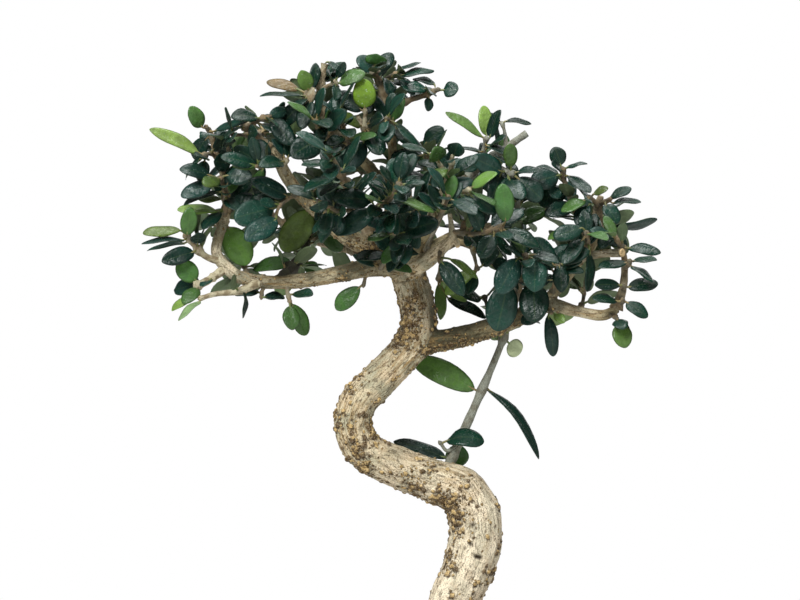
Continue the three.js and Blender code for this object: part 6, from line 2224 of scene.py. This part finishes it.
@dataclass
class Wood:
    """The trunk and its branches: one grown piece with ridged, warty bark. Millimetres."""

    grower: Grower
    voxel: float = 0.62
    quick_voxel: float = 1.1
    most_triangles: int = 185000
    lobes: int = 5
    flare_top: float = 74.0
    flare_height: float = 22.0
    flare_depth: float = 0.16
    warts: int = 2600
    smallest_wart: float = 0.5
    largest_wart: float = 1.5
    jagged: float = 0.4
    sunk: float = 0.45
    limb_radius: float = 8.2
    limb_fade: float = 1.6
    full_relief_radius: float = 6.5
    buff_height: tuple[float, float, float, float] = (132.0, 172.0, 205.0, 250.0)
    line_steps: int = 6
    roundness: int = 5
    pit_depth: float = 1.2
    eye_depth: float = 1.1
    crevice_shade_reach: float = 1.6
    # How rough all bark is, and how much rougher in a bend's inside and underneath.
    rough_base: float = 0.02
    rough_inside: float = 0.35
    rough_below: float = 0.4
    # From how far round, and by how much at which heights, the trunk's sides are rougher.
    rough_side: float = 0.72
    rough_sides: tuple = ((150, 165, 205), (0.2, 1.8, 1.2))
    largest_wart_radius: float = 9.0
    # The height and size of each layer of lumps, and the height, stretch, offset and size of the ridges.
    lumps: tuple = ((0.5, 13), (0.25, 4.5), (0.12, 1.9))
    ridges: tuple = ((0.34, 0.2, 0, 2.3), (0.16, 0.3, 90, 1.2))

    def build(self) -> Object:
        """Draw the limbs, melt them together, and raise their bark.

        Returns:
            The wood.
        """
        lines = [self.line(route) for route in self.grower.wood_routes]
        wood = tube("trunk_wood", lines, self.roundness)
        voxel = self.voxel
        apply_modifier(wood, "REMESH", mode="VOXEL", voxel_size=voxel * MM)
        apply_modifier(wood, "SMOOTH", factor=0.5, iterations=4)
        self.raise_bark(wood.data)
        triangles = triangles_of(wood)
        if triangles > self.most_triangles:
            apply_modifier(wood, "DECIMATE", ratio=self.most_triangles / triangles)
        select_only(wood)
        bpy.ops.object.shade_smooth()
        wood.data.materials.append(BarkFinish().material())
        return finished(wood, "bark", "trunk_and_branches")

    def line(self, route: Route) -> tuple[Array, Array]:
        """Return a limb's places and radii, close together."""
        return route.sampled(self.line_steps)[1:]

    def raise_bark(self, mesh: Mesh) -> None:
        """Shape the root flare, the ridges and the warts, and note them for the finish.

        Args:
            mesh: The melted limbs.
        """
        limbs = Limbs(self.grower.wood_routes)
        places, normals = places_of(mesh) / MM, normals_of(mesh)
        spots = limbs.nearest(places)
        straight = limbs.straightened(places, spots)
        places += normals * self.flare(straight, limbs, spots, places)[:, None]
        radii = limbs.radii[spots]
        depth = np.clip(radii / self.full_relief_radius, 0.15, 1)
        ridges = sum(
            tall * noise_at(straight * (1, 1, stretch) + offset, size)
            for tall, stretch, offset, size in self.ridges
        )
        lumps = sum(tall * noise_at(places, size) for tall, size in self.lumps)
        relief = depth * (lumps + ridges)
        warts = self.warts_on(places, normals, limbs, spots)
        pits = felt(PITS, places) * (normals[:, 1] < 0)
        eye, lid = self.scars(places, normals)
        sunk = self.sunk * depth + felt(SLIM, places)
        height = relief + warts["height"] - sunk - self.pit_depth * pits + lid - self.eye_depth * eye
        places += normals * height[:, None]
        move_places(mesh, places * MM)
        # Painted shade under the crown, strongest on faces that look up and to the right.
        facing = np.clip(0.45 + normals[:, 2] + 0.5 * normals[:, 0], 0, 1)
        painted_shade = felt(CROWN_SHADE, places) * facing
        put_attribute(mesh, "straight", straight * MM, "FLOAT_VECTOR")
        for name in ("wart", "shade", "rough"):
            put_attribute(mesh, name, warts[name])
        # Painted shade in the pits and the scar's eye, added to the painted shadow under the warts.
        put_attribute(mesh, "crevice_shade", np.clip(warts["crevice_shade"] + pits + eye, 0, 1))
        # Darker towards the top, partly painted shade under the crown: buff from the bends up, then limb
        # colour on the neck.
        start, full, fade, end = self.buff_height
        buff = np.interp(places[:, 2], (start, full, fade, end), (0, 1, 0.8, 0.4))
        put_attribute(mesh, "buff", buff)
        on_limb = np.clip((self.limb_radius - radii) / self.limb_fade, 0, 1) * (limbs.numbers[spots] > 0)
        # Painted shade in part: the neck takes the limbs' darker colour towards the crown.
        neck = np.interp(places[:, 2], (fade, end), (0, 0.3))
        bare, ash = (self.by_limb(shares)[limbs.numbers[spots]] for shares in (BARE, ASHEN))
        bare = np.clip(bare + felt(PALE_BARK, places), 0, 1)
        put_attribute(mesh, "limb", np.maximum(on_limb, neck) * (1 - bare))
        put_attribute(mesh, "ash", ash * on_limb)
        put_attribute(mesh, "streak", np.clip(0.15 + 0.45 * buff + 0.5 * noise_at(places + 50, 16), 0, 0.9))
        put_attribute(mesh, "painted_shade", np.clip(painted_shade, 0, 0.85))
        put_attribute(mesh, "cut", self.sawn_ends(places))

    def by_limb(self, shares: dict[str, float]) -> Array:
        """Return a value for each limb, the trunk first, from those of the branches that have one."""
        return np.array([0, *(shares.get(name, 0) for name in BRANCHES)])

    def scars(self, places: Array, normals: Array) -> tuple[Array, Array]:
        """Return how deep the eye of a healed scar is at each place, and how high its lid.

        Args:
            places: The bark's places.
            normals: Where they face.

        Returns:
            The depths and the heights, from 0 to 1.
        """
        eye, lid = np.zeros(len(places)), np.zeros(len(places))
        for scar in SCARS:
            across, up = (places[:, 0] - scar.x) / scar.reach, (places[:, 2] - scar.z) / scar.reach
            away = np.hypot(across, 2.2 * (up + 0.25 * across))
            front = scar.strength * (normals[:, 1] < 0)
            eye += front * np.exp(-((away / 0.75) ** 4))
            lid += 0.55 * front * np.exp(-(((away - 1.35) / 0.4) ** 2))
        return eye, lid

    def flare(self, straight: Array, limbs: Limbs, spots: Array, places: Array) -> Array:
        """Return how far the trunk's foot widens in lobes, one for each main root.

        Args:
            straight: The places along straightened limbs.
            limbs: The straightened limbs.
            spots: The spot of a limb that each place belongs to.
            places: The bark's places.

        Returns:
            The widening at each place.
        """
        reach = np.clip((self.flare_top - places[:, 2]) / self.flare_height, 0, 1)
        angles = np.arctan2(straight[:, 1], straight[:, 0])
        return limbs.radii[spots] * self.flare_depth * reach * np.cos(self.lobes * angles)

    def warts_on(self, places: Array, normals: Array, limbs: Limbs, spots: Array) -> dict:
        """Grow the larger warts.

        Args:
            places: The bark's places.
            normals: Where they face.
            limbs: The straightened limbs.
            spots: The spot of a limb that each place belongs to.

        Returns:
            For each place the height that a wart adds, how near a wart's top it is, that wart's shade with
            painted light (lighter above its middle, darker below), how dark the painted shadow under and
            beside one is, and how rough the bark is there.
        """
        chance = np.random.default_rng(SEED + 2)
        inner = np.einsum("ij,ij->i", normals, limbs.bends[spots]) * limbs.radii[spots]
        below = np.clip(-normals[:, 2], 0, 1)
        size = np.clip(limbs.radii[spots] / self.largest_wart_radius, 0.25, 1)
        patches = felt(WARTY, places)
        beside = np.clip(np.abs(normals[:, 0]) - self.rough_side, 0, 1)
        beside *= np.interp(places[:, 2], *self.rough_sides)
        rough = self.rough_base + patches + self.rough_inside * np.clip(inner * 2, 0, 1)
        rough += self.rough_below * below**1.6
        rough += beside
        rough *= np.clip(0.75 + 0.8 * noise_at(places + 200, 6), 0.1, 1.4)
        likely = (rough**1.4 + 0.012) * size
        centres = chance.choice(len(places), self.warts, replace=False, p=likely / likely.sum())
        tree = tree_of(places)
        height, wart, shade, crevice_shade = (np.zeros(len(places)) for _ in range(4))
        jags = 1 + self.jagged * noise_at(places + 400, 0.8)
        for centre in centres:
            reach = lerp(self.smallest_wart, self.largest_wart, chance.random() ** 2.2)
            reach *= lerp(0.5, 1, size[centre])
            tall, own_shade = reach * chance.uniform(0.5, 0.9), chance.random()
            for _, number, gap in tree.find_range(places[centre], reach * self.crevice_shade_reach):
                share = gap * jags[number] / reach
                if share < 1 and tall * (1 - share**2.5) > height[number]:
                    height[number] = tall * (1 - share**2.5)
                    # Painted light: a wart is lighter above its middle and darker below.
                    lit = 0.35 * (places[number, 2] - places[centre, 2]) / reach
                    wart[number], shade[number] = 1 - share**2, np.clip(own_shade + lit, 0, 1)
                elif share > 1:
                    # Painted shadow on the bark under and beside a wart.
                    under = np.clip(0.25 + (places[centre, 2] - places[number, 2]) / (gap + 0.01), 0, 1)
                    crevice_shade[number] = max(crevice_shade[number], under * np.clip((self.crevice_shade_reach - share) / 0.3, 0, 1))
        crevice_shade = np.where(height > 0.1, 0, crevice_shade * np.clip(0.8 + rough, 0, 1))
        return {"height": height, "wart": wart, "shade": shade, "crevice_shade": crevice_shade, "rough": np.clip(rough, 0, 1)}

    def sawn_ends(self, places: Array) -> Array:
        """Return which places lie on a sawn end.

        Args:
            places: The bark's places.

        Returns:
            1 for a place on a sawn end and 0 for the others.
        """
        order = ["trunk", *BRANCHES]
        mask = np.zeros(len(places))
        for name in SAWN:
            number = order.index(name)
            route = self.grower.wood_routes[number]
            beyond = (places - route.spots[-1]) @ route.tangent(1.0)
            near = np.linalg.norm(places - route.spots[-1], axis=1) < route.radii[-1] * 1.3
            mask[near & (beyond > -0.5)] = 1
        return mask


# ------------------------------------------------------------------ the leafy sprays


@dataclass
class LeafShape:
    """The one leaf and the one stalk that all the others are copied from. Millimetres."""

    rows: int = 12
    columns: int = 6
    thickness: float = 0.55
    rim_thickness: float = 0.24
    keel: float = 0.3
    groove: float = 0.14
    roll: float = 0.5
    wave: float = 0.42
    twist: float = 0.3
    roundness: float = 0.57
    stalk_sides: int = 6
    stalk_rings: int = 5
    stalk_radius: float = 0.62

    def __post_init__(self) -> None:
        """Model both, and keep their places and faces."""
        self.model_blade()
        self.model_stalk()

    def model_blade(self) -> None:
        """Model a flat blade from a grid: 1 long, 2 across, and 1 deep."""
        deselect()
        bpy.ops.mesh.primitive_grid_add(x_subdivisions=self.rows, y_subdivisions=self.columns, size=1)
        flat = named("leaf_blade")
        bpy.ops.object.mode_set(mode="EDIT")
        bpy.ops.mesh.select_all(action="SELECT")
        bpy.ops.transform.resize(value=(1, 2, 1), center_override=(0, 0, 0))
        bpy.ops.transform.translate(value=(0.5, 0, 0))
        bpy.ops.object.mode_set(mode="OBJECT")
        apply_modifier(flat, "SOLIDIFY", thickness=1, offset=-1)
        places = places_of(flat.data)
        self.along = (1 - np.cos(math.pi * np.clip(places[:, 0], 0, 1))) / 2
        self.across = np.clip(places[:, 1], -1, 1)
        self.under = np.clip(-places[:, 2], 0, 1)
        self.faces = [tuple(face.vertices) for face in flat.data.polygons]
        bpy.data.objects.remove(flat)

    def model_stalk(self) -> None:
        """Model a straight stalk from a circle: 1 long and 1 in radius."""
        deselect()
        bpy.ops.mesh.primitive_circle_add(vertices=self.stalk_sides, radius=1, fill_type="NGON")
        stalk = named("leaf_stalk")
        bpy.ops.object.mode_set(mode="EDIT")
        bpy.ops.mesh.select_all(action="SELECT")
        step = 1 / self.stalk_rings
        for _ in range(self.stalk_rings):
            bpy.ops.mesh.extrude_region_move(TRANSFORM_OT_translate={"value": (0, 0, step)})
        bpy.ops.mesh.select_all(action="SELECT")
        bpy.ops.mesh.normals_make_consistent(inside=False)
        bpy.ops.object.mode_set(mode="OBJECT")
        places = places_of(stalk.data)
        self.stalk_round, self.stalk_share = places[:, :2], np.clip(places[:, 2], 0, 1)
        self.stalk_faces = [tuple(face.vertices) for face in stalk.data.polygons]
        bpy.data.objects.remove(stalk)

    def blade(self, blade: Blade, chance: Chance) -> Array:
        """Return the copy of the leaf that grows as this blade.

        Args:
            blade: The blade.
            chance: The seeded generator for its waves and its twist.

        Returns:
            Its places, in millimetres.
        """
        along, across = self.along, self.across
        share = along ** chance.uniform(0.86, 1.2)
        fullness = chance.uniform(self.roundness - 0.06, self.roundness + 0.05)
        outline = np.clip(4 * share * (1 - share), 0, 1) ** fullness
        half = np.maximum(blade.width / 2 * outline, np.interp(along, (0, 1), (0.5, 0.05)))
        wide = blade.width / 10
        top = -self.roll * wide * np.abs(across) ** 3 - self.groove * (across == 0) * (1 - along)
        top += self.wave * wide * across**2 * np.sin(2 * math.pi * (1.4 * along + chance.random()))
        top += across * half * along * chance.uniform(-self.twist, self.twist)
        taper = np.clip(4 * (1 - along), 0.25, 1)
        depth = np.interp(np.abs(across), (0, 1), (self.thickness, self.rim_thickness)) * taper
        depth += self.keel * (np.abs(across) < 0.2) * (1 - along)
        return blade.curved(along, across, half, top - self.under * depth)

    def stalk(self, blade: Blade) -> Array:
        """Return the copy of the stalk that joins this blade to its twig, in millimetres.

        Args:
            blade: The blade.

        Returns:
            Its places.
        """
        spot = np.array([0.0, 0.14])
        end = blade.curved(spot, spot * 0, spot * 0 + 0.5, np.array([0.0, -self.thickness * 0.75]))
        bends = blade.core, blade.base - blade.direction * 0.9, end[0] - blade.face * 0.35, end[1]
        share = self.stalk_share[:, None]
        weights = (1 - share) ** 3, 3 * share * (1 - share) ** 2, 3 * share**2 * (1 - share), share**3
        line = sum(weight * bend for weight, bend in zip(weights, bends))
        radius = self.stalk_radius * np.interp(self.stalk_share, (0, 0.35, 0.8, 1), (1.25, 1, 0.85, 0.3))
        round_place = self.stalk_round * radius[:, None]
        return line + np.outer(round_place[:, 0], blade.sideways) + np.outer(round_place[:, 1], blade.face)


@dataclass
class SprayPiece:
    """A leafy stem: twigs with swollen nodes and buds, and leaves on stalks. Millimetres."""

    name: str
    routes: Sequence[Route]
    blades: Sequence[Blade]
    shape: LeafShape
    finishes: Sequence[Material]
    line_steps: int = 7
    roundness: int = 2
    foot_swelling: float = 0.4
    node_swelling: float = 0.3
    node_reach: float = 1.3
    unevenness: float = 0.16
    bud: float = 2.2
    sawn_radius: float = 1.45
    pale_from: float = 1.25
    lightness: tuple[float, float] = (0.65, 1.35)
    tint: tuple[float, float] = (0.92, 1.08)

    def build(self, chance: Chance) -> Object:
        """Draw the twigs, copy the leaves onto them, and join both.

        Args:
            chance: The seeded generator.

        Returns:
            The spray.
        """
        lines = [self.line(route) for route in self.routes]
        twigs = tube(f"spray_of_{self.name}", lines, self.roundness)
        spots = np.concatenate([route.spots for route in self.routes])
        radii = np.concatenate([route.spot_radii for route in self.routes])
        gaps = np.linalg.norm(places_of(twigs.data)[:, None] / MM - spots[None], axis=2)
        put_attribute(twigs.data, "thick", np.clip((radii[gaps.argmin(axis=1)] - self.pale_from) / 0.5, 0, 1))
        marks = {"shoot": self.name in SHOOTS, "shaded": self.name in SHADED}
        for name, value in {**marks, "fresh": FRESH.get(self.name, 0)}.items():
            put_attribute(twigs.data, name, np.full(len(gaps), float(value)))
        for finish in self.finishes:
            twigs.data.materials.append(finish)
        spray = joined([twigs, self.leaves(chance)] if self.blades else [twigs])
        select_only(spray)
        bpy.ops.object.shade_smooth()
        return finished(spray, "foliage", f"spray_{self.name}")

    def line(self, route: Route) -> tuple[Array, Array]:
        """Return a twig's places and radii, with a swelling at each leaf and a bud at the end.

        Args:
            route: The twig's line.

        Returns:
            The places and the radii.
        """
        shares, places, radii = route.sampled(self.line_steps)
        radii *= 1 + self.foot_swelling * (1 - shares) ** 7
        for blade in self.blades:
            gaps = np.linalg.norm(places - blade.root, axis=1)
            radii *= 1 + self.node_swelling * np.exp(-((gaps / self.node_reach) ** 2))
        if route.radii[-1] < self.sawn_radius:
            steps = np.array([0.35, 0.75, 1.0])
            places = np.concatenate([places, places[-1] + np.outer(steps * self.bud, route.tangent(1.0))])
            radii = np.concatenate([radii, radii[-1] * np.array([1.1, 0.6, 0.08])])
        return places, radii * (1 + self.unevenness * noise_at(places, 1.7))

    def leaves(self, chance: Chance) -> Object:
        """Copy the leaf and its stalk for each blade.

        Args:
            chance: The seeded generator.

        Returns:
            One object that holds them all.
        """
        shape = self.shape
        rows, faces, kinds, blades, tones, unders = [], [], [], [], [], []
        first = 0
        for blade in self.blades:
            copy = shape.blade(blade, chance), shape.stalk(blade)
            rows += copy
            for part, corners, kind in ((copy[0], shape.faces, 1), (copy[1], shape.stalk_faces, 2)):
                faces += [tuple(first + corner for corner in face) for face in corners]
                kinds += [kind] * len(corners)
                first += len(part)
            spread = np.full(len(shape.along), chance.random())
            blades.append(np.column_stack([shape.across, shape.along, spread]))
            blades.append(np.zeros((len(copy[1]), 3)))
            unders.append(np.concatenate([shape.under, np.zeros(len(copy[1]))]))
            tone = np.array(srgb(*blade.tone.value))[:3] * chance.uniform(*self.lightness)
            tone = tone * chance.uniform(*self.tint, 3)
            tones.append(np.tile((*tone, 1), (len(copy[0]) + len(copy[1]), 1)))
        mesh = bpy.data.meshes.new("leaves")
        mesh.from_pydata(np.concatenate(rows) * MM, [], faces)
        mesh.polygons.foreach_set("material_index", kinds)
        put_attribute(mesh, "blade", np.concatenate(blades), "FLOAT_VECTOR")
        put_attribute(mesh, "tone", np.concatenate(tones), "FLOAT_COLOR")
        put_attribute(mesh, "under", np.concatenate(unders))
        for finish in self.finishes:
            mesh.materials.append(finish)
        return linked("leaves", mesh)


# ------------------------------------------------------------------ the studio


@dataclass
class Studio:
    """A pale floor, soft light and the camera. Metres."""

    look_at: tuple[float, float, float] = (-0.0005, 0.0, 0.237)
    distance: float = 2.5
    lens: float = 225.0
    floor_reach: float = 1.25
    floor_colour: Colour = srgb(0.86, 0.86, 0.85)
    backdrop: Colour = (1.0, 1.0, 1.0, 1.0)
    ambient: float = 0.13

    def build(self) -> None:
        """Set up the whole studio."""
        bpy.context.scene.view_settings.view_transform = "Standard"
        self.camera()
        self.floor()
        self.sky()
        self.lamp("key", (-0.6, -1.15, 1.35), 0.7, 43.0)
        self.lamp("top", (0.1, 0.0, 1.7), 0.8, 26.0)
        self.lamp("fill", (1.3, -1.5, 0.4), 1.2, 9.0)
        self.lamp("back", (0.5, 1.6, 1.0), 1.2, 8.0)

    def camera(self) -> None:
        """Stand the camera level in front of the tree."""
        x, y, z = self.look_at
        deselect()
        bpy.ops.object.camera_add(location=(x, y - self.distance, z), rotation=(math.radians(90), 0, 0))
        camera = bpy.context.active_object
        camera.data.lens = self.lens
        bpy.context.scene.camera = camera

    def floor(self) -> None:
        """Lay the floor."""
        deselect()
        bpy.ops.mesh.primitive_circle_add(vertices=128, radius=self.floor_reach, fill_type="NGON")
        floor = named("studio_floor")
        material = bpy.data.materials.new("studio_floor")
        material.use_nodes = True
        shader = material.node_tree.nodes["Principled BSDF"]
        shader.inputs["Base Color"].default_value = self.floor_colour
        shader.inputs["Roughness"].default_value = 0.9
        floor.data.materials.append(material)

    def sky(self) -> None:
        """Show a white backdrop, and light the tree evenly from all around."""
        world = bpy.data.worlds.new("studio")
        bpy.context.scene.world = world
        world.use_nodes = True
        nodes = Nodes(world.node_tree)
        seen = nodes.add("ShaderNodeLightPath").outputs["Is Camera Ray"]
        light = nodes.add("ShaderNodeBackground", {"Color": self.backdrop, "Strength": self.ambient})
        shown = nodes.add("ShaderNodeBackground", {"Color": self.backdrop})
        both = nodes.add("ShaderNodeMixShader", {0: seen, 1: light, 2: shown})
        nodes.add("ShaderNodeOutputWorld", {"Surface": both})

    def lamp(self, name: str, place: tuple[float, float, float], size: float, power: float) -> None:
        """Hang a soft square lamp that looks at the tree.

        Args:
            name: Its name.
            place: Where it hangs.
            size: The length of a side.
            power: Its power, in watts.
        """
        deselect()
        bpy.ops.object.light_add(type="AREA", location=place)
        lamp = bpy.context.active_object
        lamp.name = name
        lamp.data.size = size
        lamp.data.energy = power
        aim = Vector(self.look_at) - Vector(place)
        lamp.rotation_euler = aim.to_track_quat("-Z", "Y").to_euler()


def main() -> None:
    """Load the frame, and dress the tree, its soil and its pot."""
    logging.basicConfig(level=logging.INFO, format="%(message)s")
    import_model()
    Studio().build()
    grower = Grower()
    pot = Pot()
    pot.build()
    Soil(pot).build(grower.wood)
    Wood(grower).build()
    shape = LeafShape()
    finishes = [TwigFinish().material(), LeafFinish().material(), StalkFinish().material()]
    chance = np.random.default_rng(SEED + 3)
    for name, routes in grower.routes.items():
        SprayPiece(name, routes, grower.blades[name], shape, finishes).build(chance)
    LOG.info("%d leaves", len(grower.canopy.blades))


if __name__ == "__main__":
    main()
